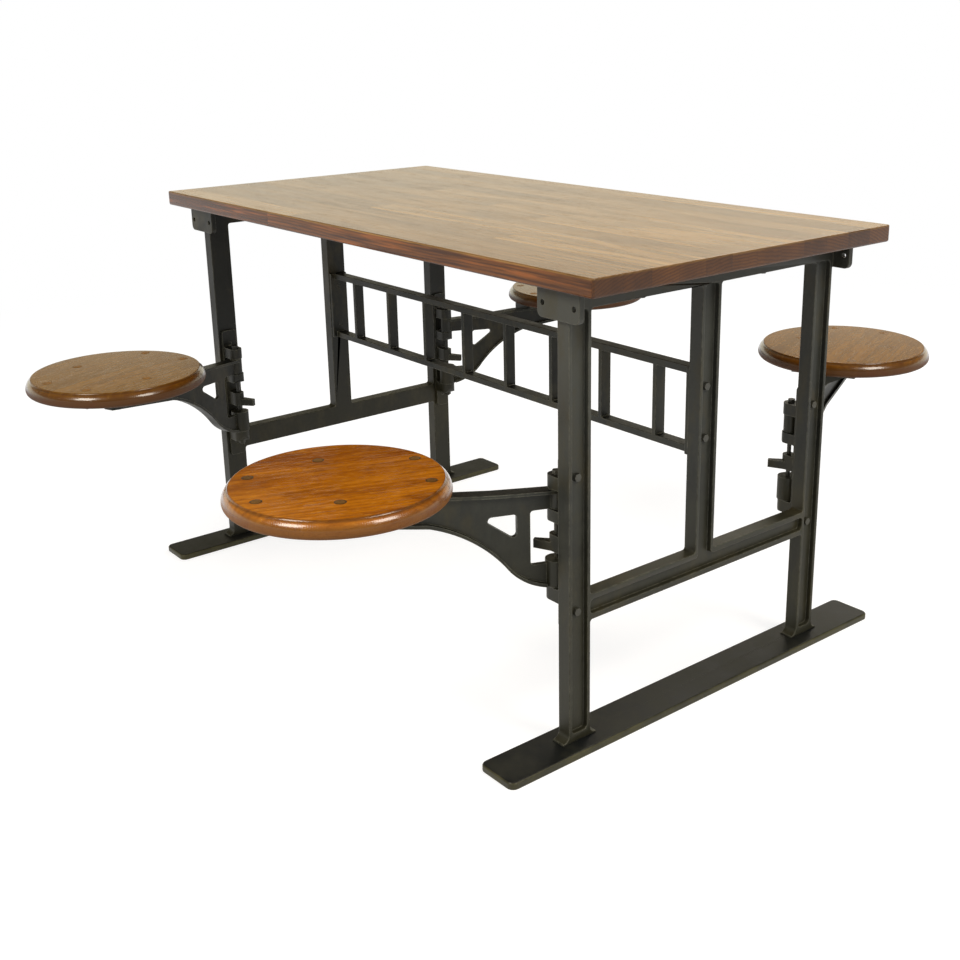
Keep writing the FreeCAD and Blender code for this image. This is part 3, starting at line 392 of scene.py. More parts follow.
# %% [markdown]
# ## Shader groups
#
# Three effects serve several materials, so each is built once as a node group.
#
# *Cast surface* is what a foundry leaves: slow mottling, a fine sandy skin, and edges that are rubbed
# bare. The edge mask compares the true normal with one that is rounded over a small radius: on a flat
# face the two agree, and near an edge they part.

# %% Group: cast surface
PATCH_NOISE = (16.0, 4.0, 0.6)
STREAK_NOISE = (60.0, 3.0)
RUB_NOISE = (90.0, 3.0, 0.7)
DENT_NOISE = (130.0, 2.0)
SKIN_NOISE = (700.0, 3.0, 0.6)
STREAK_SHARE, SKIN_SHARE = 0.35, 0.35
EDGE_START, EDGE_FULL = 0.006, 0.12


def make_cast_group():
    """Outputs: Mottle (slow patches), Edge (rubbed edges) and Height (sandy skin), each 0 to 1."""
    inputs = [("Place", "NodeSocketVector", None), ("Edge Radius", "NodeSocketFloat", 1.5 * MILLIMETRE)]
    group, bench, given, result = new_group("cast_surface", inputs, ("Mottle", "Edge", "Height"))
    place = given["Place"]
    patches = bench.times(bench.noise(place, *PATCH_NOISE), 1 - STREAK_SHARE)
    streaks = bench.noise(bench.stretched(place, 1, 1, 0.25), *STREAK_NOISE)
    mottle = bench.times_plus(streaks, STREAK_SHARE, patches)
    rounded = bench.add("ShaderNodeBevel", {"Radius": given["Edge Radius"]}, samples=4).outputs[0]
    true_normal = bench.add("ShaderNodeNewGeometry").outputs["Normal"]
    agreement = bench.add("ShaderNodeVectorMath", {0: rounded, 1: true_normal}, operation="DOT_PRODUCT")
    edge = bench.span(bench.minus(1.0, agreement.outputs["Value"]), EDGE_START, EDGE_FULL)
    rub = bench.span(bench.noise(place, *RUB_NOISE), 0.25, 0.7)
    dents = bench.times(bench.noise(place, *DENT_NOISE), 1 - SKIN_SHARE)
    skin = bench.noise(place, *SKIN_NOISE)
    bench.feed(result["Mottle"], bench.span(mottle, 0.3, 0.7))
    bench.feed(result["Edge"], bench.times(edge, rub))
    bench.feed(result["Height"], bench.times_plus(skin, SKIN_SHARE, dents))
    return group


cast_surface = make_cast_group()

# %% [markdown]
# *Wood grain* is cut from a solid log, and not printed on the faces. The yearly rings are shells about
# a wandering pith line that runs along X, below the board. So long faces show lines and pointed
# arches, and end faces show arcs, with no seam between them. Pores are short dark dashes along the
# grain. Wood changes slowly along its grain, so every noise is stretched along X.

# %% Group: wood grain
DRIFT_ALONG, DRIFT_NOISE = 0.16, (9.0, 1.0)
WOBBLE_ALONG, WOBBLE_NOISE = 0.08, (70.0, 2.0)
PORE_ALONG, PORE_NOISE = 0.03, (620.0, 2.0, 0.6)
TONE_ALONG, TONE_NOISE = 0.12, (22.0, 3.0, 0.6)
DRIFT_OFFSET = (4, 9, 2)
SEED_STEP = 7.31
# Noise stays mostly between a quarter and three quarters, so four times its drift is the full wander.
DRIFT_GAIN = 4.0
RING_WOBBLE = 0.9
RING_SHARPNESS = 1.8


def make_grain_group():
    """Outputs: Rings, Pores and Tone, each 0 to 1. Place has the grain along X."""
    inputs = [
        ("Place", "NodeSocketVector", None),
        ("Ring Pitch", "NodeSocketFloat", 4 * MILLIMETRE),
        ("Pith Depth", "NodeSocketFloat", 45 * MILLIMETRE),
        ("Wander", "NodeSocketFloat", 14 * MILLIMETRE),
        ("Seed", "NodeSocketFloat", 0.0),
    ]
    group, bench, given, result = new_group("wood_grain", inputs, ("Rings", "Pores", "Tone"))
    offset = bench.times(given["Seed"], SEED_STEP)
    moved = bench.vector("ADD", given["Place"], bench.joined(offset, offset, offset))
    here = bench.stretched(moved, DRIFT_ALONG, 1, 1)
    elsewhere = bench.vector("ADD", here, DRIFT_OFFSET)
    drift_y, drift_z = (bench.minus(bench.noise(spot, *DRIFT_NOISE), 0.5) for spot in (here, elsewhere))
    wander = bench.times(given["Wander"], DRIFT_GAIN)
    parts = bench.parts(given["Place"])
    across = bench.times_plus(drift_y, wander, parts["Y"])
    depth = bench.times_plus(drift_z, wander, parts["Z"])
    from_pith = bench.length(bench.joined(0, across, bench.math("ADD", depth, given["Pith Depth"])))
    wobble = bench.noise(bench.stretched(moved, WOBBLE_ALONG, 1, 1), *WOBBLE_NOISE)
    turns = bench.times_plus(wobble, RING_WOBBLE, bench.math("DIVIDE", from_pith, given["Ring Pitch"]))
    wave = bench.math("SINE", bench.times(turns, 2 * math.pi))
    rings = bench.math("POWER", bench.times_plus(wave, 0.5, 0.5), RING_SHARPNESS)
    dashes = bench.noise(bench.stretched(moved, PORE_ALONG, 1, 1), *PORE_NOISE)
    tone = bench.noise(bench.stretched(moved, TONE_ALONG, 1, 1), *TONE_NOISE)
    bench.feed(result["Rings"], rings)
    bench.feed(result["Pores"], bench.span(dashes, 0.56, 0.72))
    bench.feed(result["Tone"], bench.span(tone, 0.3, 0.7))
    return group


wood_grain = make_grain_group()

# %% [markdown]
# *Glued strips* cuts a slab into strips along X and cuts each strip into lengths at places of its own.
# Each block gets its own random number, which gives it a shade and its own stretch of log. A white
# noise node on the strip's and the block's whole numbers gives those random values.

# %% Group: glued strips
# No block has this number, so where a strip starts is a random number of its own.
NO_BLOCK = 0.5


def make_strip_group():
    """Outputs: Block (one random number per block), Second (another one) and Joint (the glue lines)."""
    inputs = [
        ("Place", "NodeSocketVector", None),
        ("Strip Width", "NodeSocketFloat", 50 * MILLIMETRE),
        ("Block Length", "NodeSocketFloat", 0.9),
        ("Joint Width", "NodeSocketFloat", 0.6 * MILLIMETRE),
        ("Seed", "NodeSocketFloat", 0.0),
    ]
    group, bench, given, result = new_group("glued_strips", inputs, ("Block", "Second", "Joint"))
    parts = bench.parts(given["Place"])

    def random_of(first, second, channel):
        """A random number for two numbers and the seed."""
        place = bench.joined(first, second, given["Seed"])
        noise = bench.add("ShaderNodeTexWhiteNoise", {"Vector": place}, noise_dimensions="3D")
        return bench.parts(noise.outputs["Color"])[channel]

    def line(turns, size):
        """1 within half a joint of a whole number of turns."""
        gap = bench.math("ABSOLUTE", bench.minus(bench.math("FRACT", turns), 0.5))
        away = bench.times(bench.minus(0.5, gap), size)
        return bench.math("LESS_THAN", away, bench.times(given["Joint Width"], 0.5))

    strip_turns = bench.math("DIVIDE", parts["Y"], given["Strip Width"])
    strip = bench.math("FLOOR", strip_turns)
    start = random_of(strip, NO_BLOCK, 0)
    block_turns = bench.math("ADD", bench.math("DIVIDE", parts["X"], given["Block Length"]), start)
    block = bench.math("FLOOR", block_turns)
    side_joint = line(strip_turns, given["Strip Width"])
    end_joint = line(block_turns, given["Block Length"])
    bench.feed(result["Block"], random_of(strip, block, 0))
    bench.feed(result["Second"], random_of(strip, block, 1))
    bench.feed(result["Joint"], bench.math("MAXIMUM", side_joint, end_joint))
    return group


glued_strips = make_strip_group()
print("shader groups:", [group.name for group in bpy.data.node_groups])

# %% [markdown]
# ## Materials
#
# Each material keeps its own Principled shader. Numbers that are the same all over the piece are set
# on the shader's own sockets. What changes over the surface comes from the groups above.

# %% Material helpers


def new_material(name):
    """A material with a Principled shader and its object coordinates."""
    material = bpy.data.materials.new(name)
    material.use_nodes = True
    bench = Bench(material.node_tree)
    shader = material.node_tree.nodes["Principled BSDF"]
    return material, bench, shader, bench.add("ShaderNodeTexCoord").outputs["Object"]


def bump(bench, shader, height, distance):
    """Bend the normal as a relief would. A height of 1 stands out by that distance in metres."""
    node = bench.add("ShaderNodeBump", {"Height": height, "Distance": distance})
    bench.feed(shader.inputs["Normal"], node.outputs[0])


# %% [markdown]
# The top is stained brown under a satin varnish. Its upper face is painted paler than its sides, a
# painted sheen, so the sides are darker and redder. The end faces are darkest, as they soak up more
# stain. Long streaks run along the front and back edges. The underside has no varnish, so it is rougher.

# %% Material: stained top
TOP_STRIPS = {"Strip Width": 55 * MILLIMETRE, "Block Length": 1.1}
TOP_GRAIN = {"Ring Pitch": 5 * MILLIMETRE, "Wander": 6 * MILLIMETRE}
TOP_PITH_LEAST, TOP_PITH_SPREAD = 20 * MILLIMETRE, 90 * MILLIMETRE
TOP_LOG_SHIFT = 3.0
TOP_STREAK_NOISE = (75.0, 3.0, 0.65)
TOP_RUB_NOISE = (30.0, 3.0)
TOP_SATIN, TOP_BARE = 0.16, 0.55
TOP_DIP = 0.15 * MILLIMETRE
VARNISH_IOR = 1.4


def top_masks(bench, place):
    """Where a point is on the top's sides, on its end faces and on its underside, each 0 to 1."""
    low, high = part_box("table_top")
    x, y, z = bench.parts(place)
    on_side = bench.span(z, high.z - 4 * MILLIMETRE, high.z - 1 * MILLIMETRE, 1.0, 0.0)
    from_middle = bench.math("ABSOLUTE", x)
    on_end = bench.span(from_middle, high.x - 3 * MILLIMETRE, high.x - 1 * MILLIMETRE)
    underneath = bench.span(z, low.z, low.z + 2 * MILLIMETRE, 1.0, 0.0)
    return on_side, on_end, underneath


def stained_top():
    """Glued strips of dark brown wood, each block with its own shade, under satin varnish."""
    material, bench, shader, place = new_material("stained_top")
    on_side, on_end, underneath = top_masks(bench, place)
    on_long = bench.math("SUBTRACT", on_side, on_end, clamp=True)
    strips = place_group(bench, glued_strips, {"Place": place, **TOP_STRIPS})
    shift = bench.times(strips["Block"], TOP_LOG_SHIFT)
    moved = bench.vector("ADD", place, bench.joined(shift, 0.0, 0.0))
    pith = bench.times_plus(strips["Second"], TOP_PITH_SPREAD, TOP_PITH_LEAST)
    feeds = {"Place": moved, "Pith Depth": pith, "Seed": strips["Second"], **TOP_GRAIN}
    grain = place_group(bench, wood_grain, feeds)
    ring_depth = bench.times_plus(on_side, 0.25, 0.35)
    streaks = bench.noise(bench.stretched(moved, 0.07, 1, 1.6), *TOP_STREAK_NOISE)
    orange = bench.times(bench.span(streaks, 0.5, 0.68), on_long)
    brown = bench.times(bench.span(streaks, 0.5, 0.34), on_long)
    shade = bench.times_plus(grain["Tone"], 0.4, bench.times(strips["Block"], 0.6))
    # The upper face's shades are paler than the sides': a painted sheen.
    dark = bench.blend(on_side, paint(118, 82, 44), paint(78, 42, 14))
    light = bench.blend(on_side, paint(180, 138, 84), paint(142, 86, 32))
    layers = [
        (grain["Rings"], ring_depth, bench.blend(on_side, paint(84, 50, 20), paint(58, 30, 8))),
        (grain["Pores"], 0.55, paint(40, 21, 8)),
        (strips["Joint"], 0.5, paint(44, 24, 12)),
        (orange, 0.6, paint(186, 108, 46)),
        (brown, 0.7, paint(62, 32, 12)),
        (on_end, 0.45, paint(58, 36, 14)),
    ]
    bench.feed(shader.inputs["Base Color"], bench.layered(bench.blend(shade, dark, light), layers))
    rubbed = bench.noise(bench.stretched(moved, 0.15, 1, 1), *TOP_RUB_NOISE)
    satin = bench.times_plus(rubbed, 0.07, TOP_SATIN)
    bench.feed(shader.inputs["Roughness"], bench.times_plus(underneath, TOP_BARE, satin))
    shader.inputs["IOR"].default_value = VARNISH_IOR
    dip = bench.times_plus(grain["Pores"], -0.6, bench.times(strips["Joint"], -0.4))
    bump(bench, shader, dip, TOP_DIP)
    return material


# %% [markdown]
# The seats are oak under a glossy orange varnish, glued from a few wide boards without end joints. A
# Mapping node puts the pattern's origin on the middle of each seat and turns it, so that the grain
# runs along the arm. Each seat has its own seed, so no two are alike.
#
# Most masks come from two measures: the height above the middle of the seat, and the distance beyond the
# step, where the flat top meets the rounded rim. A dark line of painted shade runs along that step. The
# sides of every seat are painted darker, as shade. The three further seats have painted duller tops and
# darker rims: this is painted shade, strongest on the back left seat, which lies in the table's shadow.
# The upper part of every rim wears an extra coat of varnish, and the lower part is matt.
#
# The lathe tool left fine ribs on the rim. They are a sine of the angle about the middle, and they
# break up the streaks of light there.

# %% Material: varnished oak
RIM_CURVE = 20 * MILLIMETRE
RIM_START = math.radians(58)
STEP_SLOPE = 0.4 * MILLIMETRE
SEAT_LIP = RIM_CURVE * (1 - math.cos(RIM_START)) + STEP_SLOPE
RIB_PITCH = 3.4 * MILLIMETRE
# Strength of the painted shade on each seat: duller tops and darker rims on the three further seats.
PAINTED_SEAT_SHADE = {"front_right": 0.0, "front_left": 0.6, "back_right": 0.45, "back_left": 0.7}
SEAT_STRIPS = {"Strip Width": 68 * MILLIMETRE, "Block Length": 9.0, "Joint Width": 0.4 * MILLIMETRE}
SEAT_GRAIN = {"Ring Pitch": 11 * MILLIMETRE, "Wander": 12 * MILLIMETRE}
SEAT_PITH_LEAST, SEAT_PITH_SPREAD = 12 * MILLIMETRE, 50 * MILLIMETRE
FLECK_NOISE = (150.0, 3.0, 0.7)
CLOUD_NOISE = (26.0, 4.0, 0.65, 0.6)
GLOSS_NOISE = (40.0, 3.0)
SEAT_GLOSS, SEAT_MATT = 0.1, 0.4
COAT_ROUGHNESS = 0.14
SEAT_RELIEF = 0.12 * MILLIMETRE


def seat_place(bench, place, corner):
    """Coordinates from the middle of the seat, with X along the arm."""
    centre = middle(f"seat_{corner}")
    feeds = {"Vector": place, "Location": tuple(centre), "Rotation": (0.0, 0.0, headings[corner])}
    return bench.add("ShaderNodeMapping", feeds, vector_type="TEXTURE").outputs[0]


def seat_colour(bench, local, height, from_step, strips, grain, seat_shade_strength):
    """The ground shade of the oak and the layers over it, several of them painted shade."""
    on_top = bench.span(height, 0.0, 12 * MILLIMETRE)
    below_top = bench.minus(1.0, on_top)
    # Painted shade: the sides of every seat are darker, and darkest on the further seats.
    painted_rim_shade = bench.blend(seat_shade_strength, paint(104, 70, 32), paint(46, 22, 6))
    ring_depth = bench.times_plus(on_top, 0.22, 0.1)
    flecks = bench.noise(bench.stretched(local, 0.35, 1, 1), *FLECK_NOISE)
    pale = bench.times(bench.span(flecks, 0.52, 0.72), on_top)
    brown = bench.times(bench.span(flecks, 0.48, 0.3), on_top)
    clouds = bench.noise(bench.stretched(local, 0.3, 1, 1), *CLOUD_NOISE)
    inside_step = bench.span(from_step, -1 * MILLIMETRE, 1 * MILLIMETRE, 1.0, 0.0)
    beyond_step = bench.span(from_step, 0.0, 2 * MILLIMETRE)
    # Painted shade: a dark line in the step between the flat top and the rim.
    from_line = bench.math("ABSOLUTE", bench.minus(from_step, 1.2 * MILLIMETRE))
    step_shade_line = bench.span(from_line, 0.5 * MILLIMETRE, 3.5 * MILLIMETRE, 1.0, 0.0)
    layers = [
        # painted shade on the three further seats
        (seat_shade_strength, 1.0, paint(104, 76, 12)),
        # painted shade on the sides of every seat
        (below_top, 0.75, painted_rim_shade),
        (grain["Rings"], ring_depth, paint(104, 48, 4)),
        (pale, 0.35, paint(216, 150, 50)),
        (brown, 0.45, paint(116, 58, 6)),
        (bench.span(clouds, 0.46, 0.7), 0.6, paint(104, 50, 6)),
        (grain["Pores"], 0.32, paint(70, 32, 4)),
        (strips["Joint"], 0.35, paint(84, 40, 8)),
        # painted shade on the tops and rims of the further seats
        (inside_step, seat_shade_strength * 0.65, paint(112, 86, 26)),
        (beyond_step, seat_shade_strength * 0.8, paint(62, 32, 10)),
        (bench.times(step_shade_line, on_top), 0.6, paint(64, 38, 16)),
    ]
    shade = bench.times_plus(grain["Tone"], 0.5, bench.times(strips["Block"], 0.5))
    return bench.layered(bench.blend(shade, paint(130, 64, 2), paint(202, 122, 10)), layers)


def varnished_oak(corner, seed):
    """Orange-brown oak of a few wide boards whose grain runs along the arm, under gloss varnish."""
    material, bench, shader, place = new_material(f"varnished_oak_{corner}")
    local = seat_place(bench, place, corner)
    x, y, z = bench.parts(local)
    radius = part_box(f"seat_{corner}")[1].x - middle(f"seat_{corner}").x
    from_step = bench.minus(bench.length(bench.joined(x, y, 0.0)), radius - SEAT_LIP)
    strips = place_group(bench, glued_strips, {"Place": local, "Seed": seed, **SEAT_STRIPS})
    pith = bench.times_plus(strips["Second"], SEAT_PITH_SPREAD, SEAT_PITH_LEAST)
    feeds = {"Place": local, "Pith Depth": pith, "Seed": strips["Block"], **SEAT_GRAIN}
    grain = place_group(bench, wood_grain, feeds)
    colour = seat_colour(bench, local, z, from_step, strips, grain, PAINTED_SEAT_SHADE[corner])
    bench.feed(shader.inputs["Base Color"], colour)
    on_rim = bench.span(from_step, 0.0, 1.5 * MILLIMETRE)
    gloss = bench.times_plus(bench.noise(place, *GLOSS_NOISE), 0.08, SEAT_GLOSS)
    gloss = bench.math("ADD", gloss, bench.span(z, -8 * MILLIMETRE, 3 * MILLIMETRE, SEAT_MATT, 0.0))
    bench.feed(shader.inputs["Roughness"], bench.times_plus(on_rim, 0.08, gloss))
    coated = bench.times(on_rim, bench.span(z, -2 * MILLIMETRE, 5 * MILLIMETRE))
    bench.feed(shader.inputs["Coat Weight"], coated)
    shader.inputs["Coat Roughness"].default_value = COAT_ROUGHNESS
    shader.inputs["IOR"].default_value = VARNISH_IOR
    rib_count = round(2 * math.pi * radius / RIB_PITCH)
    ribs = bench.math("SINE", bench.times(bench.math("ARCTAN2", y, x), rib_count))
    ribs = bench.times(bench.times(ribs, 0.35), on_rim)
    bump(bench, shader, bench.minus(ribs, bench.times(grain["Pores"], 0.5)), SEAT_RELIEF)
    return material


# %% [markdown]
# The plugs of the front right seat are darker oak in a dark ring that is glue with the gap's shade
# painted into it. Those of the other seats have nearly the shade of their wood. They are small, so a
# short grain is enough.

# %% Materials: plug wood, and glue line with painted gap shade
PLUG_GRAIN = {"Ring Pitch": 3 * MILLIMETRE, "Seed": 3.0}
PLUG_IOR = 1.3
GLUE_NOISE = (160.0, 2.0)


def plug_wood(name, dark, light):
    """Brown plugs with a fine short grain."""
    material, bench, shader, place = new_material(name)
    grain = place_group(bench, wood_grain, {"Place": place, **PLUG_GRAIN})
    ground = bench.blend(grain["Tone"], dark, light)
    ringed = bench.layered(ground, [(grain["Rings"], 0.4, paint(72, 42, 14))])
    bench.feed(shader.inputs["Base Color"], ringed)
    bench.feed(shader.inputs["Roughness"], bench.times_plus(grain["Tone"], 0.1, 0.35))
    shader.inputs["IOR"].default_value = PLUG_IOR
    return material


def glue_and_gap_shade(name, dark, light):
    """Glue in the gap round a plug, darkened as painted shade of the gap."""
    material, bench, shader, place = new_material(name)
    patches = bench.noise(place, *GLUE_NOISE)
    bench.feed(shader.inputs["Base Color"], bench.blend(patches, dark, light))
    bench.feed(shader.inputs["Roughness"], bench.times_plus(patches, 0.2, 0.35))
    return material


# %% [markdown]
# Cast iron here is nearly black with an olive cast, waxed to a soft satin. The same function makes
# the castings, the rolled runners and the steel fasteners: only the two ground shades, the colour of
# the rubbed edges, the roughness and the radius of the edges differ.
#
# The tint follows the place, and much of it is painted light and shade. The iron is painted darker
# towards the left end of the table, as shade under the top, and paler high on the right frame, as painted
# light. Brown patches lie everywhere above the feet, and the metal turns olive low down. From the height
# of the arms on, faces that look upwards are painted darker, a painted shade that holds back their sheen.
# The runners are painted nearly black on top, a painted shade against the same sheen, and a rusty olive
# on their sides.

# %% Material: iron
# Places in metres where a tint begins and where it ends.
# Painted shade: the left end of the table lies in shade under the top.
PAINTED_SHADE_X = (-0.6, 0.2)
# Painted light: the right frame is paler high up and towards the front.
PAINTED_LIGHT_X, PAINTED_LIGHT_Y, PAINTED_LIGHT_Z = (0.3, 0.5), (-0.3, 0.1), (0.3, 0.7)
PATCHED_Z = (0.0, 0.1)
OLIVE_Z = (0.2, 0.45)
# Painted shade: from about the arms' height up, faces that look upwards are darker, to hold back their
# sheen.
UPWARD_SHADE_Z = (0.3, 0.38)
BROWN_NOISE = (14.0, 4.0, 0.7)
IRON_SKIN = 0.12 * MILLIMETRE
IRON_IOR = 1.35


def iron_tints(bench, place, mottle):
    """The layers that follow the height, the end of the table and the way a face looks; most of them are
    painted light and shade.
    """
    x, y, z = bench.parts(place)
    near = bench.times(bench.span(x, *PAINTED_LIGHT_X), bench.span(y, *PAINTED_LIGHT_Y, 1.0, 0.5))
    patches = bench.noise(bench.stretched(place, 1, 1, 0.5), *BROWN_NOISE)
    browned = bench.times(bench.span(patches, 0.46, 0.7), bench.span(z, *PATCHED_Z))
    facing = bench.parts(bench.add("ShaderNodeNewGeometry").outputs["Normal"])["Z"]
    level = bench.times(bench.span(facing, 0.5, 0.9), bench.span(z, *UPWARD_SHADE_Z))
    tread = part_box("foot_runner_right")[1].z
    # Painted shade: the runners' tops are nearly black, to hold back their sheen.
    runner_top_shade = bench.span(z, tread + 1 * MILLIMETRE, tread + 3 * MILLIMETRE, 1.0, 0.0)
    on_runner_side = bench.span(z, tread - 1.4 * MILLIMETRE, tread - 0.4 * MILLIMETRE, 1.0, 0.0)
    return [
        # painted shade towards the left end, under the top
        (bench.span(x, *PAINTED_SHADE_X, 1.0, 0.0), 0.85, paint(16, 17, 14)),
        # painted light high on the right frame
        (bench.times(bench.span(z, *PAINTED_LIGHT_Z), near), 0.7, paint(86, 87, 80)),
        (browned, 0.6, paint(72, 66, 46)),
        (bench.span(z, *OLIVE_Z, 1.0, 0.0), 0.45, paint(52, 49, 28)),
        # painted shade on upward faces, against their sheen
        (level, 0.8, paint(8, 10, 10)),
        # painted shade on the runners' tops, against their sheen
        (runner_top_shade, bench.span(mottle, 0.0, 1.0, 0.9, 0.55), paint(10, 15, 20)),
        (on_runner_side, bench.span(mottle, 0.0, 1.0, 0.4, 0.75), paint(80, 76, 46)),
    ]


def iron(name, dark, light, rubbed, roughness, edge_radius):
    """Dark satin metal with slow mottling, tints by place that are mostly painted light and shade, rubbed
    edges and a sandy skin.
    """
    material, bench, shader, place = new_material(name)
    surface = place_group(bench, cast_surface, {"Place": place, "Edge Radius": edge_radius})
    layers = iron_tints(bench, place, surface["Mottle"]) + [(surface["Edge"], 0.8, rubbed)]
    colour = bench.layered(bench.blend(surface["Mottle"], dark, light), layers)
    bench.feed(shader.inputs["Base Color"], colour)
    bench.feed(shader.inputs["Roughness"], bench.times_plus(surface["Mottle"], 0.14, roughness))
    bench.feed(shader.inputs["Metallic"], bench.times(surface["Edge"], 0.3))
    shader.inputs["IOR"].default_value = IRON_IOR
    bump(bench, shader, surface["Height"], IRON_SKIN)
    return material


# %% [markdown]
# Every finish is kept under a short name, so that pieces and slots can ask for it.

# %% Make all the materials
CAST_SHADES = [paint(27, 28, 24), paint(55, 56, 50), paint(128, 127, 112)]
STEEL_SHADES = [paint(54, 54, 51), paint(88, 88, 83), paint(150, 149, 142)]
finishes = {
    "dark_wood": stained_top(),
    "plug_wood": plug_wood("plug_wood", paint(84, 54, 14), paint(122, 84, 28)),
    "pale_plug": plug_wood("pale_plug", paint(122, 80, 14), paint(154, 102, 26)),
    # The glue rings carry painted shade of the gap round each plug.
    "glue": glue_and_gap_shade("glue_and_gap_shade", paint(30, 18, 6), paint(50, 32, 10)),
    "pale_glue": glue_and_gap_shade("pale_glue", paint(98, 62, 14), paint(118, 76, 18)),
    "cast_iron": iron("cast_iron", *CAST_SHADES, 0.36, 2.6 * MILLIMETRE),
    "fasteners": iron("blackened_steel", *STEEL_SHADES, 0.3, 0.8 * MILLIMETRE),
}
for number, corner in enumerate(CORNERS):
    finishes[f"oak_{corner}"] = varnished_oak(corner, float(number + 1))
print("materials:", sorted(finishes))

# %% [markdown]
# ## Closed skins from grids
#
# The wooden pieces are worked out as rings of points. A ring is one closed loop round the piece, and
# the rings follow each other from the top down. Joining neighbouring rings gives four-sided faces, and
# one point in the middle of the first and the last ring closes the ends. The point arrays and the face
# numbers are computed as whole arrays, which is fast and leaves no seam.
#
# Where a flat face meets a round, one more ring lies a short lip inside the flat face. It keeps the
# smooth shading of the round from spreading over the flat.

# %% Rings to mesh
SHARP_ANGLE = math.radians(40)
LIP = 1 * MILLIMETRE


def closed_skins(name, rings):
    """One mesh of closed skins.

    rings has the shape (skins, rings, points, 3), and each skin runs from the top down.
    """
    skins, rows, columns = rings.shape[:3]
    grid = np.arange(skins * rows * columns).reshape(skins, rows, columns)
    grid = np.concatenate([grid, grid[:, :, :1]], axis=2)
    here, below = grid[:, :-1], grid[:, 1:]
    sides = np.stack([here[..., :-1], below[..., :-1], below[..., 1:], here[..., 1:]], axis=-1)
    poles = rings[:, [0, -1]].mean(axis=2)
    pole_numbers = skins * rows * columns + np.arange(skins * 2).reshape(skins, 2, 1)
    pole_numbers = np.broadcast_to(pole_numbers, (skins, 2, columns))
    cap = np.stack([pole_numbers[:, 0], grid[:, 0, :-1], grid[:, 0, 1:]], axis=-1)
    base = np.stack([pole_numbers[:, 1], grid[:, -1, 1:], grid[:, -1, :-1]], axis=-1)
    points = np.concatenate([rings.reshape(-1, 3), poles.reshape(-1, 3)])
    faces = sides.reshape(-1, 4).tolist() + cap.reshape(-1, 3).tolist() + base.reshape(-1, 3).tolist()
    mesh = bpy.data.meshes.new(name)
    mesh.from_pydata(points.tolist(), [], faces)
    mesh.shade_smooth()
    mesh.set_sharp_from_angle(angle=SHARP_ANGLE)
    return mesh


def add_piece(name, mesh, body, slot, material, *nodes):
    """Put a mesh on a body, with its finish and the nodes that it stands for."""
    piece = bpy.data.objects.new(name, mesh)
    bpy.context.scene.collection.objects.link(piece)
    mesh.materials.clear()
    mesh.materials.append(material)
    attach(piece, body)
    if nodes:
        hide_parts(*nodes)
    return piece


def quarter(steps):
    """Angles of a quarter turn, from 0 to a right angle."""
    return np.linspace(0, math.pi / 2, steps)


# %% [markdown]
# ## The top
#
# The top is a slab with small rounds along its edges and at its corners. A plain Bevel modifier on a
# box would do, but the upper and the lower edge have different radii here. So the slab is a profile,
# a list of inset and height, carried round a rectangle with rounded corners.

# %% Make the top
TOP_CORNER = 5 * MILLIMETRE
TOP_UPPER_ROUND = 2.4 * MILLIMETRE
TOP_LOWER_ROUND = 3.6 * MILLIMETRE


def slab_profile(thickness, upper, lower, steps=6):
    """Insets and drops of a slab's edge: a lip, a quarter circle, the side, a quarter circle, a lip."""
    turn = quarter(steps)
    insets = [
        [upper + LIP],
        upper * (1 - np.sin(turn)),
        lower * (1 - np.cos(turn)),
        [lower + LIP],
    ]
    drops = [
        [0],
        upper * (1 - np.cos(turn)),
        thickness - lower * (1 - np.sin(turn)),
        [thickness],
    ]
    return np.concatenate(insets), np.concatenate(drops)


def rectangle_rings(low, high, corner, insets, drops, steps=8):
    """Rings round a box at the height high - drop. Each corner is an arc of radius corner - inset."""
    turn = (np.arange(4)[:, None] * math.pi / 2 + quarter(steps)).ravel()
    side_x, side_y = (np.repeat(np.array(signs), steps) for signs in ((1, -1, -1, 1), (1, 1, -1, -1)))
    radius = np.maximum(corner - insets, 0)[:, None]
    further = np.maximum(insets - corner, 0)[:, None]
    centre = (low + high) / 2
    half = (high - low) / 2
    x = centre.x + side_x * (half.x - corner - further) + radius * np.cos(turn)
    y = centre.y + side_y * (half.y - corner - further) + radius * np.sin(turn)
    z = np.broadcast_to((high.z - drops)[:, None], x.shape)
    return np.stack([x, y, z], axis=-1)[None]


def make_top():
    """The glued slab that replaces the plain one."""
    low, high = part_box("table_top")
    insets, drops = slab_profile(high.z - low.z, TOP_UPPER_ROUND, TOP_LOWER_ROUND)
    mesh = closed_skins("glued_top", rectangle_rings(low, high, TOP_CORNER, insets, drops))
    add_piece("glued_top", mesh, "table", "dark_wood", finishes["dark_wood"], "table_top")
    print("top:", len(mesh.polygons), "faces")


make_top()

# %% [markdown]
# ## The seats
#
# A seat is turned on a lathe, so its surface is one profile carried round the middle. The top is flat
# as far as a fine step down, where the turner's tool began the rounded rim. The rim is an arc that
# ends upright, and a smaller curve leads under the seat.

# %% Turn the seats
SEAT_STEP = 1.6 * MILLIMETRE
STEP_BREAK_RUN, STEP_BREAK_DROP = 0.5 * MILLIMETRE, 0.25 * MILLIMETRE
SEAT_LOWER_CURVE = 8 * MILLIMETRE
SEAT_POINTS = 192


def turned_rings(centres, radii, drops, points):
    """Lathe rings: x = cx + r cos a, y = cy + r sin a, z = cz - drop, for each centre."""
    turn = np.linspace(0, 2 * math.pi, points, endpoint=False)
    centres = np.array(centres)[:, None, None, :]
    spokes = np.stack([np.cos(turn), np.sin(turn), np.zeros(points)], axis=-1)
    rings = np.array(radii)[:, None, None] * spokes
    rings[..., 2] -= np.array(drops)[:, None]
    return centres + rings


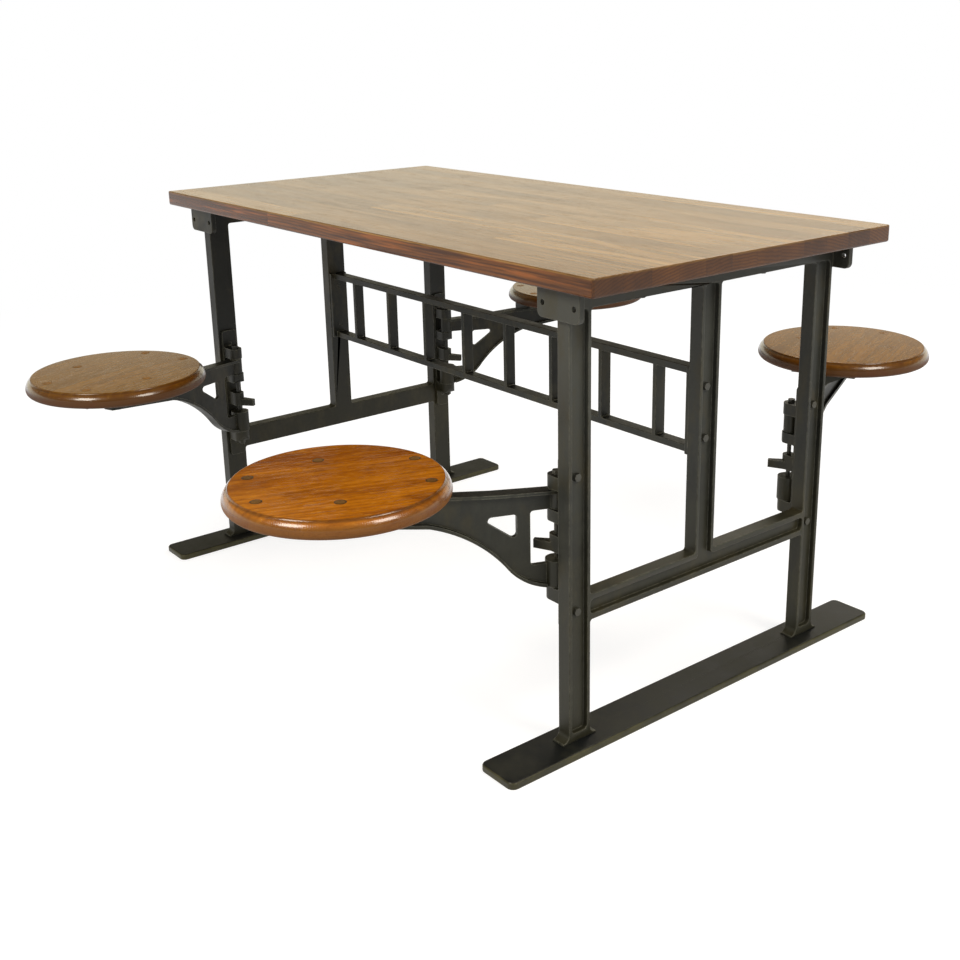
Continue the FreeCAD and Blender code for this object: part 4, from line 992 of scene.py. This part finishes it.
def seat_profile(radius, thickness, steps=9):
    """Radii and drops from the flat top over the step, the rim, the side and the lower curve."""
    lean = np.linspace(RIM_START, 0, steps)
    rim_radii = radius - RIM_CURVE * (1 - np.cos(lean))
    rim_drops = SEAT_STEP + RIM_CURVE * (math.sin(RIM_START) - np.sin(lean))
    turn = quarter(steps)
    low_radii = radius - SEAT_LOWER_CURVE * (1 - np.cos(turn))
    low_drops = thickness - SEAT_LOWER_CURVE * (1 - np.sin(turn))
    flat = radius - SEAT_LIP
    edge_radii = [flat - STEP_BREAK_RUN - LIP, flat - STEP_BREAK_RUN, flat]
    edge_drops = [0, 0, STEP_BREAK_DROP]
    radii = np.concatenate([edge_radii, rim_radii, low_radii, [low_radii[-1] - LIP]])
    return radii, np.concatenate([edge_drops, rim_drops, low_drops, [thickness]])


def make_seat(corner):
    """One turned seat at its place on the arm."""
    node = f"seat_{corner}"
    low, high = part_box(node)
    centre = middle(node)
    radii, drops = seat_profile((high.x - low.x) / 2, high.z - low.z)
    rings = turned_rings([(centre.x, centre.y, high.z)], radii, drops, SEAT_POINTS)
    mesh = closed_skins(f"turned_{node}", rings)
    add_piece(f"turned_{node}", mesh, f"{corner}_arm", "oak", finishes[f"oak_{corner}"], node)


for corner_name in CORNERS:
    make_seat(corner_name)

# %% [markdown]
# ## The plugs
#
# Six dowel plugs hide the screws of each seat. They are pared almost flush, and a ring of glue shows
# round each, darkened as painted shade of the gap. The plugs lie at fixed places about the middle of the
# seat, in the arm's own directions, so a turn by the arm's heading puts them on the seat. A plug and its
# glue ring are lathe forms too.

# %% Set the plugs
PLUG_AHEAD = np.array([-125, 12, 120]) * MILLIMETRE
PLUG_ASIDE = np.array([50, 90, 50]) * MILLIMETRE
PLUG_RADIUS = 7.2 * MILLIMETRE
PLUG_INSETS = np.array([1.5, 0.4, 0, 0]) * MILLIMETRE
PLUG_PROUD = 0.3 * MILLIMETRE
GLUE_LINE = 1.6 * MILLIMETRE
GLUE_PROUD = 0.12 * MILLIMETRE
PLUG_ROOT = 3 * MILLIMETRE
SMALL_POINTS = 24  # round a small lathe form


def plug_centres(corner):
    """Places of the six plugs: a pair at each distance ahead, turned to the arm's heading."""
    centre = middle(f"seat_{corner}")
    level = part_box(f"seat_{corner}")[1].z
    ahead = np.tile(PLUG_AHEAD, 2)
    aside = np.concatenate([PLUG_ASIDE, -PLUG_ASIDE])
    turn = headings[corner]
    x = centre.x + ahead * math.cos(turn) - aside * math.sin(turn)
    y = centre.y + ahead * math.sin(turn) + aside * math.cos(turn)
    return np.stack([x, y, np.full(len(x), level)], axis=-1)


def make_plugs(corner):
    """The plugs of one seat and the glue lines round them, darkened as painted shade of the gap."""
    centres = plug_centres(corner)
    body = f"{corner}_arm"
    plug, glue = ("plug_wood", "glue") if corner == "front_right" else ("pale_plug", "pale_glue")
    drops = [-PLUG_PROUD, -PLUG_PROUD, -PLUG_PROUD / 2, PLUG_ROOT]
    rings = turned_rings(centres, PLUG_RADIUS - PLUG_INSETS, drops, SMALL_POINTS)
    mesh = closed_skins(f"plugs_{corner}", rings)
    add_piece(f"plugs_{corner}", mesh, body, "plug_wood", finishes[plug], f"seat_plugs_{corner}")
    # The ring round each plug stands for glue and for the painted shade of the gap.
    radii = [PLUG_RADIUS, PLUG_RADIUS + GLUE_LINE, PLUG_RADIUS + GLUE_LINE]
    drops = [-GLUE_PROUD, -GLUE_PROUD / 2, PLUG_ROOT]
    mesh = closed_skins(f"glue_{corner}", turned_rings(centres, radii, drops, SMALL_POINTS))
    add_piece(f"glue_{corner}", mesh, body, "plug_wood", finishes[glue])


for corner_name in CORNERS:
    make_plugs(corner_name)

# %% [markdown]
# ## The castings
#
# A casting has no knife edges, and a softened edge is what catches the light. The shapes of the cast
# nodes are right, so each one is copied: the copy's loose triangles are merged, flat areas are made
# single faces again, and a narrow Bevel modifier rounds every edge that is sharper than a set angle.
# The rolled runners and the heads of the bolts are softened in the same way.

# %% Soften the castings
SOFT_ANGLE = math.radians(32)
FLAT_ANGLE = math.radians(1)
WELD_DISTANCE = 0.01 * MILLIMETRE
# The width of the rounding of each node, in millimetres.
SOFTENED = {
    "end_frame_right": 1.2,
    "end_frame_left": 1.2,
    "foot_runner_right": 1.0,
    "foot_runner_left": 1.0,
    "ladder_stretcher": 1.0,
    "stretcher_bolts": 0.8,
    "hinge_bolts": 0.8,
}
for corner_name in CORNERS:
    SOFTENED[f"swing_arm_{corner_name}"] = 1.0
    SOFTENED[f"hinge_bracket_{corner_name}"] = 1.0


def merged_copy(node):
    """A new mesh with a node's triangles joined, and its flat areas made single faces."""
    shell = bmesh.new()
    shell.from_mesh(frame["nodes"][node].data)
    bmesh.ops.remove_doubles(shell, verts=shell.verts, dist=WELD_DISTANCE)
    bmesh.ops.dissolve_limit(shell, angle_limit=FLAT_ANGLE, verts=shell.verts, edges=shell.edges)
    mesh = bpy.data.meshes.new(f"{node}_softened")
    shell.to_mesh(mesh)
    shell.free()
    mesh.shade_smooth()
    mesh.set_sharp_from_angle(angle=SOFT_ANGLE)
    return mesh


def soften(node, width):
    """Replace a node by a copy whose edges are rounded by a width in millimetres.

    Arms and brackets have short edges beside long ones, so their rounding is held back where it would
    run over itself.
    """
    body = frame["nodes"][node]["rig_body"]
    slot = "fasteners" if node.endswith("bolts") else "cast_iron"
    piece = add_piece(f"{node}_softened", merged_copy(node), body, slot, finishes[slot], node)
    rounding = piece.modifiers.new("rounding", "BEVEL")
    rounding.width = width * MILLIMETRE
    rounding.segments = 2
    rounding.limit_method = "ANGLE"
    rounding.angle_limit = SOFT_ANGLE
    rounding.use_clamp_overlap = node.startswith(("swing_arm", "hinge_bracket"))
    rounding.harden_normals = True


for node_name, edge_width in SOFTENED.items():
    soften(node_name, edge_width)
print("softened castings:", len(SOFTENED))

# %% [markdown]
# ## Collars of the stretcher
#
# Each upright of the ladder stretcher ends in a low round collar where it meets a rail. The collars
# are one mesh of small lathe forms, placed by the pitch of the uprights.

# %% Set the collars
UPRIGHT_PITCH = 130 * MILLIMETRE
UPRIGHT_COUNT = 8
RAIL_HEIGHT = 12 * MILLIMETRE
COLLAR_RADIUS = 8 * MILLIMETRE
COLLAR_HEIGHT = 3 * MILLIMETRE
COLLAR_EDGE = 1 * MILLIMETRE


def make_collars():
    """A collar on the lower rail and one under the upper rail, for each upright."""
    low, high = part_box("ladder_stretcher")
    centre = middle("ladder_stretcher")
    tops = [low.z + RAIL_HEIGHT + COLLAR_HEIGHT, high.z - RAIL_HEIGHT]
    x = centre.x + (np.arange(UPRIGHT_COUNT) - (UPRIGHT_COUNT - 1) / 2) * UPRIGHT_PITCH
    centres = [(place, centre.y, top) for top in tops for place in x]
    radii = COLLAR_RADIUS - np.array([1, 0, 0, 1]) * COLLAR_EDGE
    drops = [0, COLLAR_EDGE, COLLAR_HEIGHT - COLLAR_EDGE, COLLAR_HEIGHT]
    mesh = closed_skins("upright_collars", turned_rings(centres, radii, drops, SMALL_POINTS))
    add_piece("upright_collars", mesh, "table", "cast_iron", finishes["cast_iron"])
    print("collars:", len(centres))


make_collars()

# %% [markdown]
# ## Nodes that stay as they are
#
# The record names a material slot for each node. Every node that is still in view gets that slot's
# finish, where this script makes a finish of that name.

# %% Dress the remaining nodes
for entry in frame["record"]["subparts"]:
    node_object = frame["nodes"][entry["node"]]
    slot_name = entry["material_slot"]
    if not node_object.hide_render and slot_name in finishes:
        node_object.data.materials.clear()
        node_object.data.materials.append(finishes[slot_name])
        print("dressed:", entry["node"], "with", slot_name)
